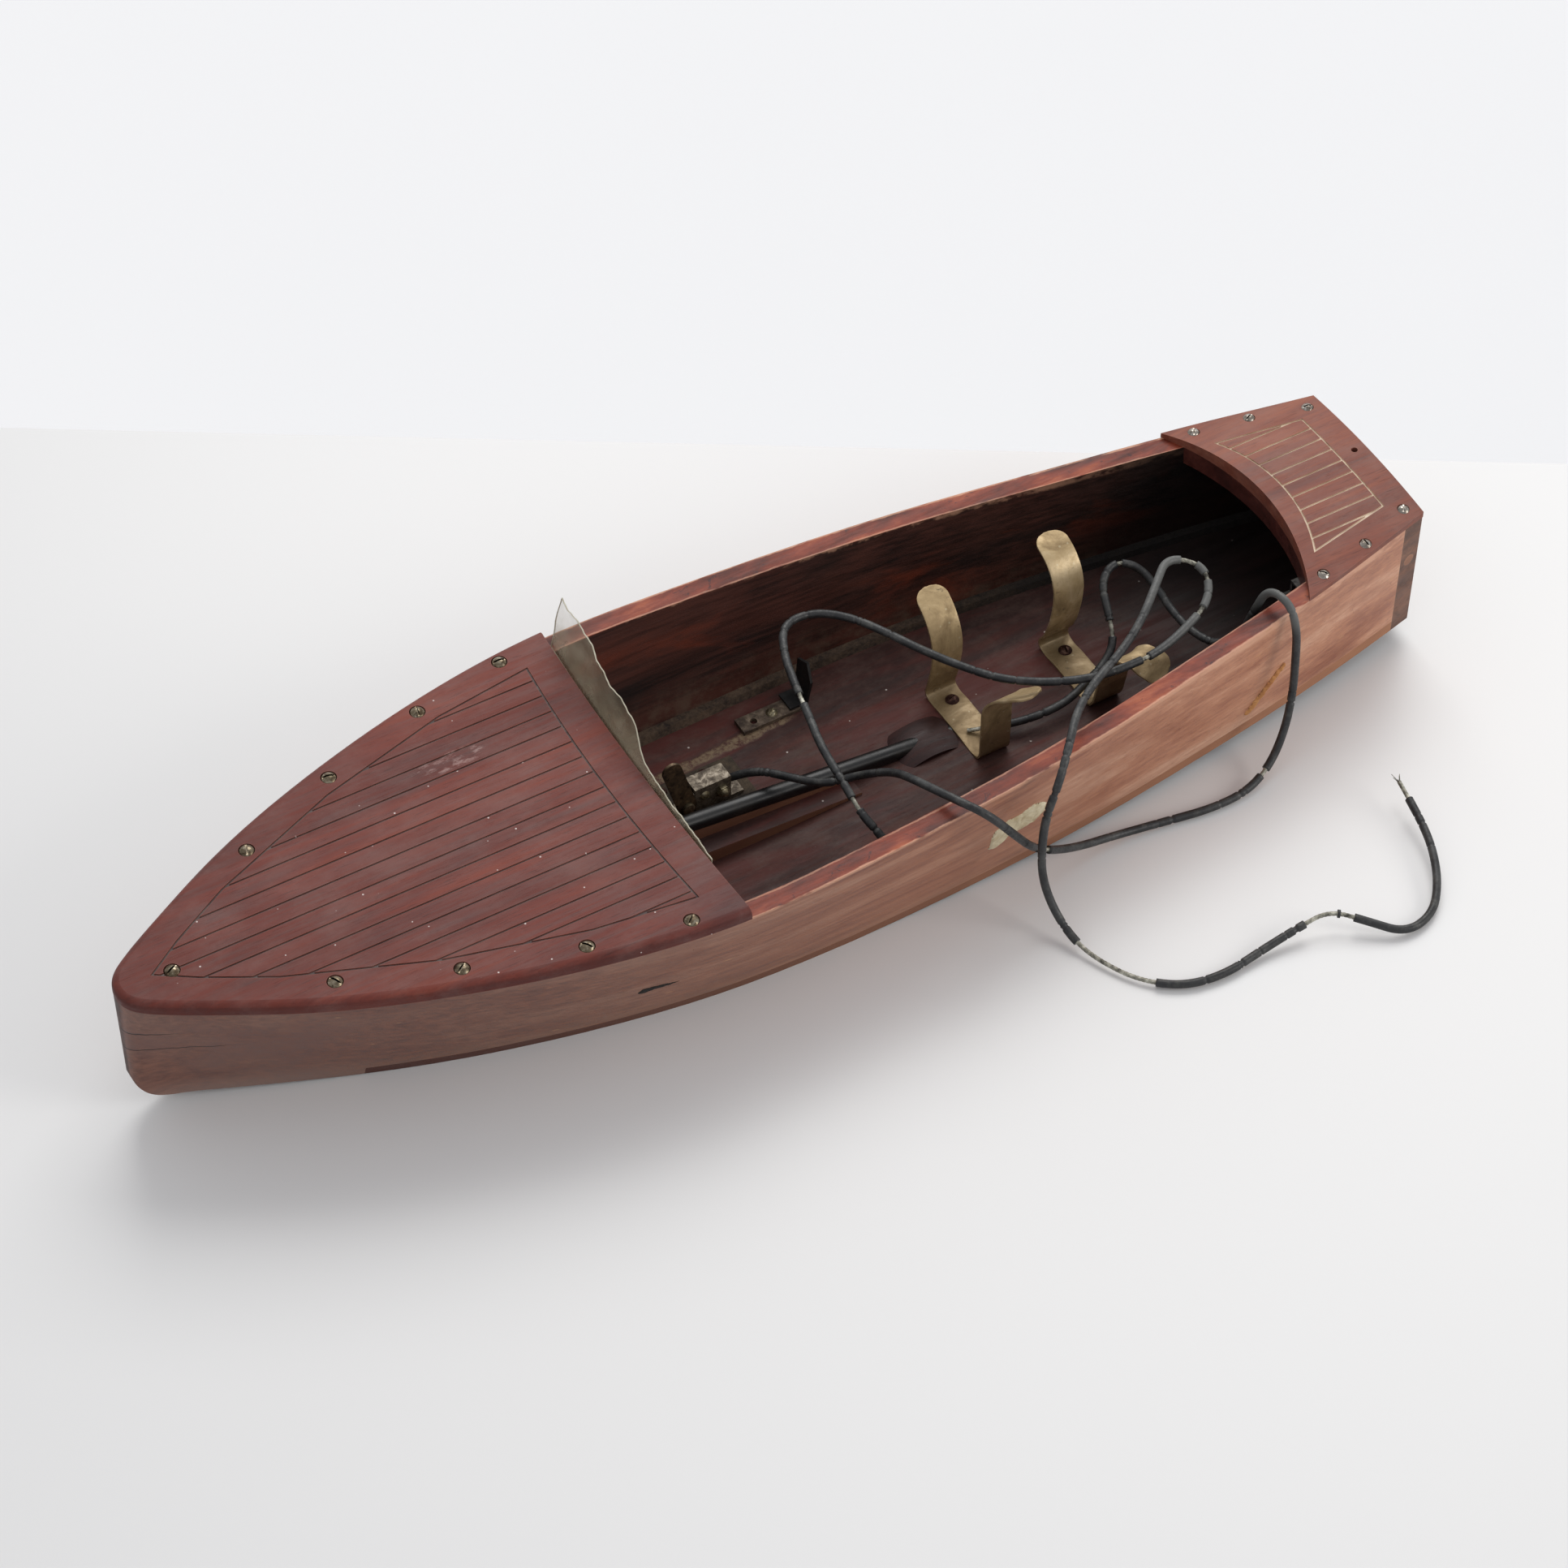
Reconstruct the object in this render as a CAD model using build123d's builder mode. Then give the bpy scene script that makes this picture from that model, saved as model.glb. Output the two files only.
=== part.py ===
"""Vintage mahogany model motorboat with an open cockpit and a dead electric drive.

Frame: millimetres, +X towards the bow, +Y to port, +Z up.  The flat of the bottom
stands on Z = 0 and the hull is centred on X = 0, Y = 0.
"""
import os
from math import cos, radians, sin, sqrt, tan

from build123d import *

os.makedirs("parts", exist_ok=True)

# ---------------------------------------------------------------- hull sizes
STERN_X = -242.0          # aft face of the transom
BOW_X = 242.0             # front of the stem
PLANK = 7.2               # side plank thickness, square to the plank
BOTTOM = 4.6              # bottom board thickness under the side planks
FLOOR = 9.5               # and inside them: the board is rabbeted along its edges
TRANSOM = 8.5             # transom board thickness
BLOCK_X = 170.0           # aft face of the solid bow block
FLAT_AFT = 2.0            # the bottom is flat between these two stations
FLAT_FORE = 137.0
KEEL_AT_TRANSOM = 7.0     # rise of the bottom at the transom
KEEL_AT_STEM = 4.8        # rise of the bottom at the forefoot
SHEER_REF = 57.0          # height at which the sheer half-breadths are taken

# Table of offsets: station, half-breadth at the sheer, half-breadth on the baseline
OFFSETS = [
    (-242, 33.5, 32.6),
    (-190, 45.4, 42.6),
    (-142, 54.0, 49.2),
    (-94, 62.0, 54.2),
    (-46, 67.6, 56.6),
    (2, 71.0, 56.8),
    (50, 72.0, 54.2),
    (98, 65.8, 46.0),
    (146, 53.2, 33.0),
    (194, 34.2, 15.6),
    (218, 21.2, 6.4),
    (234, 11.6, 3.4),
]
# Sheer line: station and height of the gunwale
SHEER = [(-242, 58.8), (-142, 56.6), (-46, 55.7), (50, 56.0), (146, 56.7), (242, 57.6)]

# ---------------------------------------------------------------- deck sizes
FOREDECK_X = 49.0         # aft corners of the foredeck
FOREDECK_BOW = 2.8        # how far the aft edge curves forward at the middle
DECK_TOP_AFT = 60.4       # height of the foredeck top at its aft edge
DECK_TOP_FORE = 61.9      # and at the stem
DECK_ROUND = 2.6          # rounding of the foredeck's upper edge
SCRIBE = 0.75             # width of the scribed plank lines
SCRIBE_DEEP = 0.4
SCRIBE_PITCH = 7.7        # scribed plank width
BORDER = 11.5             # width of the plain border round the scribing
AFT_CORNER_X = -185.5     # front corners of the aft deck
AFT_MIDDLE_X = -198.0     # middle of its hollow front edge
AFT_TOP = 63.4            # height of the aft deck on the centreline
AFT_CAMBER_R = 270.0
BEAM_LOW = 50.0           # underside of the curved beam that carries the aft deck

# ---------------------------------------------------------------- drive sizes
SHAFT_ANGLE = 7.0         # slope of the shaft line, degrees
SHAFT_POINT = (32.0, 0.0, 22.0)
TUBE_R = 3.15
SHAFT_R = 1.5
RUNNING = 0.05            # radial clearance of a turning fit
TUBE_AFT = -118.0
TUBE_FORE = 38.0
SHAFT_AFT = -129.0
MOTOR_X = 100.0           # middle of the motor along the shaft line

# ---------------------------------------------------------------- small parts
CLIP_W = 12.0             # width of a battery clip strip
CLIP_T = 0.8
LEAD_R = 1.45             # rubber covered lead


def at(pairs, x):
    """Value of a table of (x, value) pairs at x, straight between its rows."""
    for (x0, a), (x1, b) in zip(pairs, pairs[1:]):
        if x <= x1:
            return a + (b - a) * (x - x0) / (x1 - x0)
    return pairs[-1][1]


def half_sheer(x):
    return at([(s, a) for s, a, b in OFFSETS] + [(BOW_X, 0.0)], x)


def half_keel(x):
    return at([(s, b) for s, a, b in OFFSETS] + [(BOW_X, 0.0)], x)


def square(x):
    """Factor from a thickness square to the planking to the same thickness along Y."""
    slope = (half_sheer(x + 12) - half_sheer(x - 12)) / 24
    return sqrt(1 + slope * slope)


def keel(x):
    """Height of the hull's bottom face on the centreline."""
    if x < FLAT_AFT:
        return KEEL_AT_TRANSOM * (FLAT_AFT - x) / (FLAT_AFT - STERN_X)
    if x > FLAT_FORE:
        return KEEL_AT_STEM * ((x - FLAT_FORE) / (230.0 - FLAT_FORE)) ** 2
    return 0.0


def floor_z(x):
    """Height of the floor, the inside face of the bottom board."""
    return keel(x) + FLOOR


def shaft_z(x):
    """Height of the shaft line."""
    return SHAFT_POINT[2] + tan(radians(SHAFT_ANGLE)) * (x - SHAFT_POINT[0])


def deck_top(x):
    return DECK_TOP_AFT + (DECK_TOP_FORE - DECK_TOP_AFT) * (x - FOREDECK_X) / (BOW_X - FOREDECK_X)


def aft_top(y):
    """Height of the cambered aft deck."""
    return AFT_TOP - AFT_CAMBER_R + sqrt(AFT_CAMBER_R ** 2 - y * y)


def outline(z, nose=True, inset=0.0, grow=0.0):
    """Plan outline of the hull (or of its inside, square-ended) at height z."""
    share = z / SHEER_REF
    rows = []
    for x, a, b in OFFSETS:
        rows.append((x, b + (a - b) * share + grow - inset * square(x)))
    if nose:
        side = Spline(*rows, (BOW_X, 0), tangents=[(1, 0.22), (0, -1)])
        edges = side + mirror(side, about=Plane.XZ)
        edges += Line(rows[0], (rows[0][0], -rows[0][1]))
        return make_face(edges)
    start = STERN_X + TRANSOM
    aft = (start, at(rows, start))
    fore = (BLOCK_X, at(rows, BLOCK_X))
    side = Spline(aft, *rows[1:9], fore)
    edges = side + mirror(side, about=Plane.XZ)
    edges += Line(aft, (aft[0], -aft[1]))
    edges += Line(fore, (fore[0], -fore[1]))
    return make_face(edges)


def shaft_plane(x):
    """Plane square to the shaft line where it passes station x; its normal points to the bow."""
    slope = radians(SHAFT_ANGLE)
    return Plane(origin=(x, 0, shaft_z(x)), x_dir=(0, 1, 0), z_dir=(cos(slope), 0, sin(slope)))


def rod(x0, x1, radius):
    """Round bar along the shaft line between two stations."""
    long = (x1 - x0) / cos(radians(SHAFT_ANGLE))
    return extrude(shaft_plane(x0) * Circle(radius), amount=long)


def dome_screw(x, y, z, head_r, shank_r, shank, turn, axis=(0, 0, 1)):
    """Slotted round-head screw with its head seated at (x, y, z)."""
    rise = head_r * 0.55
    ball = (head_r ** 2 + rise ** 2) / (2 * rise)
    head = Pos(0, 0, rise - ball) * Sphere(ball)
    head = head & Pos(0, 0, ball) * Box(4 * head_r, 4 * head_r, 2 * ball)
    head = head - Pos(0, 0, rise) * Rot(0, 0, turn) * Box(3 * head_r, head_r * 0.26, rise * 1.1)
    body = Pos(0, 0, -shank / 2) * Cylinder(shank_r, shank)
    return Plane(origin=(x, y, z), z_dir=axis) * (head + body)


# =============================================================== hull
LOFT_TOP = 66.0
hull_low = outline(0.0)
hull_high = Pos(0, 0, LOFT_TOP) * outline(LOFT_TOP)
hollow_low = outline(0.0, nose=False, inset=PLANK)
hollow_high = Pos(0, 0, LOFT_TOP) * outline(LOFT_TOP, nose=False, inset=PLANK)

with BuildPart() as moulded:
    add(hull_low)
    add(hull_high)
    loft(ruled=True)

with BuildPart() as hollow:
    add(hollow_low)
    add(hollow_high)
    loft(ruled=True)

# side view of the hull: keel line, forefoot, stem and sheer
with BuildPart() as profile:
    with BuildSketch(Plane.XZ):
        with BuildLine():
            Line((STERN_X, KEEL_AT_TRANSOM), (FLAT_AFT, 0))
            Line((FLAT_AFT, 0), (FLAT_FORE, 0))
            fore = Spline((FLAT_FORE, 0), (190, keel(190)), (226, keel(226)), tangents=[(1, 0), (1, 0.14)])
            toe = Spline(fore @ 1, (238.2, 11.5), (BOW_X, 23), tangents=[fore % 1, (0, 1)])
            Line((BOW_X, 23), (BOW_X, SHEER[-1][1]))
            Spline(*reversed(SHEER))
            Line((STERN_X, SHEER[0][1]), (STERN_X, KEEL_AT_TRANSOM))
        make_face()
    extrude(amount=90, both=True)


def above(thick):
    """Everything above a bottom board of the given thickness."""
    side = Polyline(
        (STERN_X - 5, KEEL_AT_TRANSOM + thick + 0.14),
        (FLAT_AFT, thick),
        (FLAT_FORE, thick),
        (BLOCK_X + 5, keel(BLOCK_X + 5) + thick),
        (BLOCK_X + 5, 90),
        (STERN_X - 5, 90),
        close=True,
    )
    return extrude(Plane.XZ * make_face(side), amount=90, both=True)


above_rabbet = above(BOTTOM)
above_floor = above(FLOOR)
shell = moulded.part & profile.part
run = Pos((BLOCK_X + STERN_X + TRANSOM) / 2, 0, 45) * Box(BLOCK_X - STERN_X - TRANSOM, 200, 200)
middle = shell & run
tube_hole = rod(TUBE_AFT - 14, 60, TUBE_R)

FORE_SCREWS = [(222.5, 1.5), (179.5, -32.4), (179.5, 31.6), (142, -47.6), (142, 47.0)]
FORE_SCREWS += [(103, -59.2), (103, 58.8), (68.5, -65.8), (68.5, 66.0)]
AFT_SCREWS = [(-195.5, -40.3), (-195.5, 40.3), (-216, -36), (-216, 36), (-236.4, -29.4), (-236.4, 29.4)]
SPARE_HOLE = (-237.4, -2.0)
FORE_HEAD_R = 2.8
AFT_HEAD_R = 2.2
FORE_SEAT = 0.5           # depth of the screw head's counterbore
AFT_SEAT = 0.2


def fore_pilots(radius):
    holes = []
    for x, y in FORE_SCREWS:
        holes.append(Pos(x, y, deck_top(x) - 7) * Cylinder(radius, 14))
    return holes


def aft_pilots(radius):
    holes = []
    for x, y in AFT_SCREWS:
        holes.append(Pos(x, y, aft_top(y) - 6) * Cylinder(radius, 12))
    return holes


PILOT_R = 1.2
pilots = fore_pilots(PILOT_R) + aft_pilots(PILOT_R)

inner_board = (hollow.part & middle & above_rabbet) - above_floor
bottom_board = (middle - above_rabbet) + inner_board - tube_hole
with BuildPart() as hull_bottom:
    add(bottom_board)
hull_bottom.part.label = "hull_bottom"
export_step(hull_bottom.part, "parts/hull_bottom.step")

planking = (middle & above_rabbet) - hollow.part
for hole in pilots:
    planking = planking - hole

# a tack through the port plank's inside face holds the end of one lead
TACK = Plane(origin=(-16.6, 55.75, 27.6), z_dir=(0.065, -1.0, 0.24))
TACK_SHANK_R = 0.9
planking = planking - TACK * Cylinder(TACK_SHANK_R, 8)

port_planking = planking & Pos(0, 100, 50) * Box(600, 200, 200)
starboard_planking = planking & Pos(0, -100, 50) * Box(600, 200, 200)

with BuildPart() as hull_side_port:
    add(port_planking)
hull_side_port.part.label = "hull_side_port"
export_step(hull_side_port.part, "parts/hull_side_port.step")

with BuildPart() as hull_side_starboard:
    add(starboard_planking)
hull_side_starboard.part.label = "hull_side_starboard"
export_step(hull_side_starboard.part, "parts/hull_side_starboard.step")

ahead = shell & Pos(BLOCK_X + 50, 0, 50) * Box(100, 200, 200)
for hole in pilots:
    ahead = ahead - hole
with BuildPart() as bow_block:
    add(ahead)
bow_block.part.label = "bow_block"
export_step(bow_block.part, "parts/bow_block.step")

# the transom is pegged to the side planks with a round wooden plug each side
PLUG_R = 2.3
PLUG_X = STERN_X + 4.2
PLUG_Z = 40.0
plug_bar = Pos(PLUG_X, 0, PLUG_Z) * Rot(90, 0, 0) * Cylinder(PLUG_R, 120)
behind = shell & Pos(STERN_X + TRANSOM / 2, 0, 50) * Box(TRANSOM, 200, 200)
plug_core = Pos(PLUG_X, 0, PLUG_Z) * Box(40, 44, 40)
plugs = (behind & plug_bar) - plug_core
behind = behind - (plug_bar - plug_core)
for hole in pilots:
    behind = behind - hole
with BuildPart() as transom:
    add(behind)
transom.part.label = "transom"
export_step(transom.part, "parts/transom.step")

with BuildPart() as transom_plugs:
    add(plugs)
transom_plugs.part.label = "transom_plugs"
export_step(transom_plugs.part, "parts/transom_plugs.step")


# =============================================================== decks
# solid standing on the sheer line, used to seat both decks exactly on the planks
above_sheer = (
    Spline(*SHEER)
    + Line(SHEER[-1], (BOW_X + 6, SHEER[-1][1] + 0.05))
    + Line((BOW_X + 6, SHEER[-1][1] + 0.05), (BOW_X + 6, 90))
    + Line((BOW_X + 6, 90), (STERN_X - 6, 90))
    + Line((STERN_X - 6, 90), (STERN_X - 6, SHEER[0][1] + 0.12))
    + Line((STERN_X - 6, SHEER[0][1] + 0.12), SHEER[0])
)
above_sheer = extrude(Plane.XZ * make_face(above_sheer), amount=90, both=True)

# the foredeck: flat board, hollow aft edge, rounded along its outer top edge
fore_plan = extrude(outline(SHEER_REF, grow=0.3), amount=90)
aft_edge = make_face(
    ThreePointArc((FOREDECK_X, -80), (FOREDECK_X + FOREDECK_BOW, 0), (FOREDECK_X, 80))
    + Line((FOREDECK_X, 80), (260, 80))
    + Line((260, 80), (260, -80))
    + Line((260, -80), (FOREDECK_X, -80))
)
under_top = make_face(
    Line((0, 50), (0, deck_top(0)))
    + Line((0, deck_top(0)), (300, deck_top(300)))
    + Line((300, deck_top(300)), (300, 50))
    + Line((300, 50), (0, 50))
)
deck_blank = fore_plan & above_sheer & extrude(aft_edge, amount=90)
deck_blank = deck_blank & extrude(Plane.XZ * under_top, amount=90, both=True)
rim = [e for e in deck_blank.edges() if e.center().Z > deck_top(e.center().X) - 0.3 and e.center().X > 60]
deck_blank = fillet(rim, DECK_ROUND)

# plain border and plank lines scribed into the top
border_rows = [(x, half_sheer(x) - BORDER * square(x)) for x in (62, 98, 146, 194, 216)]
border_tip = (229.5, 0.0)
aft_line = FOREDECK_X + 12.5
inner_plan = make_face(
    Polyline((aft_line, -border_rows[0][1]), *[(x, -h) for x, h in border_rows[1:]], border_tip)
    + Polyline(border_tip, *[(x, h) for x, h in reversed(border_rows[1:])], (aft_line, border_rows[0][1]))
    + ThreePointArc(
        (aft_line, border_rows[0][1]), (aft_line + FOREDECK_BOW, 0), (aft_line, -border_rows[0][1])
    )
)
ring = inner_plan - offset(inner_plan, amount=-SCRIBE)
lines = extrude(ring, amount=90)
inner_prism = extrude(inner_plan, amount=90)
for k in range(-7, 8):
    cut = Pos(150, 1.5 + SCRIBE_PITCH * k, 45) * Box(220, SCRIBE, 90)
    lines = lines + (cut & inner_prism)
scribe_floor = make_face(
    Line((0, deck_top(0) - SCRIBE_DEEP), (300, deck_top(300) - SCRIBE_DEEP))
    + Line((300, deck_top(300) - SCRIBE_DEEP), (300, 90))
    + Line((300, 90), (0, 90))
    + Line((0, 90), (0, deck_top(0) - SCRIBE_DEEP))
)
deck_blank = deck_blank - (lines & extrude(Plane.XZ * scribe_floor, amount=90, both=True))
for x, y in FORE_SCREWS:
    deck_blank = deck_blank - Pos(x, y, deck_top(x) + 5 - FORE_SEAT) * Cylinder(FORE_HEAD_R, 10)
    deck_blank = deck_blank - Pos(x, y, deck_top(x) - 7) * Cylinder(PILOT_R, 14)

with BuildPart() as foredeck:
    add(deck_blank)
foredeck.part.label = "foredeck"
export_step(foredeck.part, "parts/foredeck.step")

fore_heads = []
for k, (x, y) in enumerate(FORE_SCREWS):
    turn = 25 + 47 * k
    fore_heads.append(dome_screw(x, y, deck_top(x) - FORE_SEAT, FORE_HEAD_R, PILOT_R, 6.5, turn))
with BuildPart() as foredeck_screws:
    add(fore_heads)
foredeck_screws.part.label = "foredeck_screws"
export_step(foredeck_screws.part, "parts/foredeck_screws.step")

# the aft deck: cambered board with a hollow front edge
aft_plan = extrude(outline(SHEER_REF, grow=0.3), amount=90)
aft_edge = make_face(
    ThreePointArc((AFT_CORNER_X, -47), (AFT_MIDDLE_X, 0), (AFT_CORNER_X, 47))
    + Line((AFT_CORNER_X, 47), (AFT_CORNER_X, 80))
    + Line((AFT_CORNER_X, 80), (-260, 80))
    + Line((-260, 80), (-260, -80))
    + Line((-260, -80), (AFT_CORNER_X, -80))
    + Line((AFT_CORNER_X, -80), (AFT_CORNER_X, -47))
)
camber = Pos(-220, 0, AFT_TOP - AFT_CAMBER_R) * Rot(0, 90, 0) * Cylinder(AFT_CAMBER_R, 120)
aft_blank = aft_plan & above_sheer & extrude(aft_edge, amount=90) & camber
aft_inner = make_face(
    ThreePointArc((-197.8, -31.2), (-205.2, 0), (-197.8, 31.2))
    + Line((-197.8, 31.2), (-231.3, 25.2))
    + Line((-231.3, 25.2), (-231.3, -25.2))
    + Line((-231.3, -25.2), (-197.8, -31.2))
)
aft_lines = extrude(aft_inner - offset(aft_inner, amount=-SCRIBE), amount=90)
aft_prism = extrude(aft_inner, amount=90)
for k in range(-4, 5):
    aft_lines = aft_lines + (Pos(-215, 6.4 * k, 45) * Box(60, SCRIBE, 90) & aft_prism)
lowered = Pos(-220, 0, AFT_TOP - AFT_CAMBER_R - SCRIBE_DEEP) * Rot(0, 90, 0) * Cylinder(AFT_CAMBER_R, 130)
aft_blank = aft_blank - (aft_lines - lowered)
for x, y in AFT_SCREWS:
    aft_blank = aft_blank - Pos(x, y, aft_top(y) + 5 - AFT_SEAT) * Cylinder(AFT_HEAD_R, 10)
    aft_blank = aft_blank - Pos(x, y, aft_top(y) - 6) * Cylinder(PILOT_R, 12)
aft_blank = aft_blank - Pos(SPARE_HOLE[0], SPARE_HOLE[1], AFT_TOP) * Cylinder(PILOT_R, 20)

with BuildPart() as aft_deck:
    add(aft_blank)
aft_deck.part.label = "aft_deck"
export_step(aft_deck.part, "parts/aft_deck.step")

aft_heads = []
for k, (x, y) in enumerate(AFT_SCREWS):
    turn = 60 + 71 * k
    aft_heads.append(dome_screw(x, y, aft_top(y) - AFT_SEAT, AFT_HEAD_R, PILOT_R, 5.5, turn))
with BuildPart() as aft_deck_screws:
    add(aft_heads)
aft_deck_screws.part.label = "aft_deck_screws"
export_step(aft_deck_screws.part, "parts/aft_deck_screws.step")

# curved beam between the side planks that carries the front edge of the aft deck
beam_plan = make_face(
    ThreePointArc((AFT_CORNER_X, -47), (AFT_MIDDLE_X, 0), (AFT_CORNER_X, 47))
    + Line((AFT_CORNER_X, 47), (AFT_CORNER_X - 7, 47))
    + ThreePointArc((AFT_CORNER_X - 7, 47), (AFT_MIDDLE_X - 7, 0), (AFT_CORNER_X - 7, -47))
    + Line((AFT_CORNER_X - 7, -47), (AFT_CORNER_X, -47))
)
beam = (Pos(0, 0, BEAM_LOW) * extrude(beam_plan, amount=30)) & hollow.part
beam = beam - above_sheer
with BuildPart() as aft_deck_beam:
    add(beam)
aft_deck_beam.part.label = "aft_deck_beam"
export_step(aft_deck_beam.part, "parts/aft_deck_beam.step")

# =============================================================== windscreen
SCREEN_T = 0.7
SCREEN_RAKE = 0.28        # aft lean per unit of height
face_x = FOREDECK_X
screen_strip = make_face(
    ThreePointArc((face_x, -66), (face_x + FOREDECK_BOW * 0.9, 0), (face_x, 66))
    + Line((face_x, 66), (face_x - SCREEN_T, 66))
    + ThreePointArc(
        (face_x - SCREEN_T, 66), (face_x - SCREEN_T + FOREDECK_BOW * 0.9, 0), (face_x - SCREEN_T, -66)
    )
    + Line((face_x - SCREEN_T, -66), (face_x, -66))
)
lean = (-SCREEN_RAKE, 0, 1)
screen_wall = extrude(Pos(0, 0, 56.6) * screen_strip, amount=34, dir=lean)
screen_face = make_face(
    Line((-63.5, 50), (-64.0, 60.5))
    + Line((-64.0, 60.5), (-60.5, 85.5))
    + Spline((-60.5, 85.5), (-50, 79), (-34, 75.5), (-18, 71), (-4, 65.5), (16, 64), (34, 62.3), (46, 60.2))
    + Line((46, 60.2), (46, 50))
    + Line((46, 50), (-63.5, 50))
)
screen = screen_wall & extrude(Plane.YZ * screen_face, amount=120)
with BuildPart() as windscreen:
    add(screen)
windscreen.part.label = "windscreen"
export_step(windscreen.part, "parts/windscreen.step")

# =============================================================== drive line
tube = rod(TUBE_AFT, TUBE_FORE, TUBE_R) - rod(TUBE_AFT - 1, TUBE_FORE + 1, SHAFT_R + RUNNING)
# its crown is filed flat where the front battery clip crosses it
CLIP_FRONT_X = -77.8
CLIP_REAR_X = -123.8
tube = tube - Pos(CLIP_FRONT_X, 0, floor_z(CLIP_FRONT_X) + 3) * Box(CLIP_W + 0.6, 12, 6)
with BuildPart() as stern_tube:
    add(tube)
stern_tube.part.label = "stern_tube"
export_step(stern_tube.part, "parts/stern_tube.step")

# low wooden plinth with a web that carries the tube
LOG_FORE = 62.0
LOG_AFT = -30.0
LOG_STARBOARD = -4.5
LOG_PORT = 9.5
WEB = 2.6                 # half thickness of the web


def log_prism(fore_top, aft_top_z, y0, y1):
    """Wedge on the floor between two stations with a straight sloping top."""
    side = Polyline(
        (LOG_AFT, floor_z(LOG_AFT)),
        (FLAT_AFT, FLOOR),
        (LOG_FORE, FLOOR),
        (LOG_FORE, fore_top),
        (LOG_AFT, aft_top_z),
        close=True,
    )
    return Pos(0, y1, 0) * extrude(Plane.XZ * make_face(side), amount=y1 - y0)


shaft_block = log_prism(17.0, floor_z(LOG_AFT) + 0.9, LOG_STARBOARD, LOG_PORT)
shaft_block = shaft_block + log_prism(shaft_z(LOG_FORE), shaft_z(LOG_AFT), -WEB, WEB)
shaft_block = shaft_block - rod(-40, 44.5, TUBE_R) - rod(44, 90, 4.6)
with BuildPart() as shaft_log:
    add(shaft_block)
shaft_log.part.label = "shaft_log"
export_step(shaft_log.part, "parts/shaft_log.step")

# mound of putty where the tube goes through the floor
mound = Pos(-61, 0, floor_z(-61) - 24) * Sphere(27)
mound = mound & Pos(-58.7, 0, 20) * Box(25.4, 17, 60)
mound = (mound & above_floor) - tube_hole
with BuildPart() as tube_putty:
    add(mound)
tube_putty.part.label = "tube_putty"
export_step(tube_putty.part, "parts/tube_putty.step")

JOIN_X = 54.0
shaft_bar = rod(SHAFT_AFT, JOIN_X, SHAFT_R)
with BuildPart() as propeller_shaft:
    add(shaft_bar)
propeller_shaft.part.label = "propeller_shaft"
export_step(propeller_shaft.part, "parts/propeller_shaft.step")

sleeve = rod(45, 63, 4.0) - rod(44, JOIN_X, SHAFT_R) - rod(JOIN_X, 64, SHAFT_R)
with BuildPart() as shaft_coupling:
    add(sleeve)
shaft_coupling.part.label = "shaft_coupling"
export_step(shaft_coupling.part, "parts/shaft_coupling.step")

# =============================================================== motor
FIELD = 32.0              # outside of the square field frame
FIELD_LONG = 24.0
BORE = 11.5
AIR_GAP = 0.5
armature = rod(JOIN_X, 133, SHAFT_R) + rod(90, 110, BORE - AIR_GAP)
for k in range(3):
    slot = shaft_plane(100) * Rot(0, 0, 120 * k) * Pos(0, 9.5, 0) * Box(2.2, 9, 44)
    armature = armature - slot
armature = armature + rod(113.5, 119.5, 4.2)
with BuildPart() as motor_armature:
    add(armature)
motor_armature.part.label = "motor_armature"
export_step(motor_armature.part, "parts/motor_armature.step")

fore_face = MOTOR_X + FIELD_LONG / 2 * cos(radians(SHAFT_ANGLE))
aft_face = MOTOR_X - FIELD_LONG / 2 * cos(radians(SHAFT_ANGLE))
frame = shaft_plane(MOTOR_X) * Box(FIELD, FIELD, FIELD_LONG)
frame = frame - rod(70, 130, BORE)
with BuildPart() as motor_field:
    add(frame)
motor_field.part.label = "motor_field"
export_step(motor_field.part, "parts/motor_field.step")


def end_plate(x0, reach):
    """Bearing bridge: a strap on two legs standing off one end of the field frame."""
    plane = shaft_plane(x0)
    sign = 1 if reach > 0 else -1
    bar = plane * Pos(0, 0, reach - sign * 0.8) * Box(FIELD, 9, 1.6)
    for side in (-1, 1):
        leg = Pos(side * (FIELD / 2 - 1.0), 0, reach / 2) * Box(2.0, 9, abs(reach))
        bar = bar + plane * leg
    boss = plane * Pos(0, 0, reach - sign * 1.5) * Cylinder(3.4, 3.0)
    return bar + boss


bridges = end_plate(aft_face, -12.0) + end_plate(fore_face, 15.0)
bridges = bridges - rod(60, 140, SHAFT_R + RUNNING)
with BuildPart() as motor_bridges:
    add(bridges)
motor_bridges.part.label = "motor_bridges"
export_step(motor_bridges.part, "parts/motor_bridges.step")

bed_low = Pos(MOTOR_X, 0, FLOOR + 15) * Box(30, 40, 30)
bed = bed_low - shaft_plane(MOTOR_X) * Pos(0, 25 - FIELD / 2, 0) * Box(200, 50, 200)
with BuildPart() as motor_bed:
    add(bed)
motor_bed.part.label = "motor_bed"
export_step(motor_bed.part, "parts/motor_bed.step")

# =============================================================== switch beside the shaft
BASE_X = 18.2              # middle of the switch base
BASE_Y = -17.0
BASE_TOP = FLOOR + 3.0
HOLD_Y = -24.4             # the two screws that hold the base down
base = Pos(BASE_X, BASE_Y, FLOOR + 1.5) * Box(34, 21, 3)
for x in (BASE_X - 5, BASE_X + 12):
    base = base - Pos(x, HOLD_Y, BASE_TOP) * Cylinder(1.3, 8)
base = base & above_floor
with BuildPart() as switch_base:
    add(base)
switch_base.part.label = "switch_base"
export_step(switch_base.part, "parts/switch_base.step")

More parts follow.
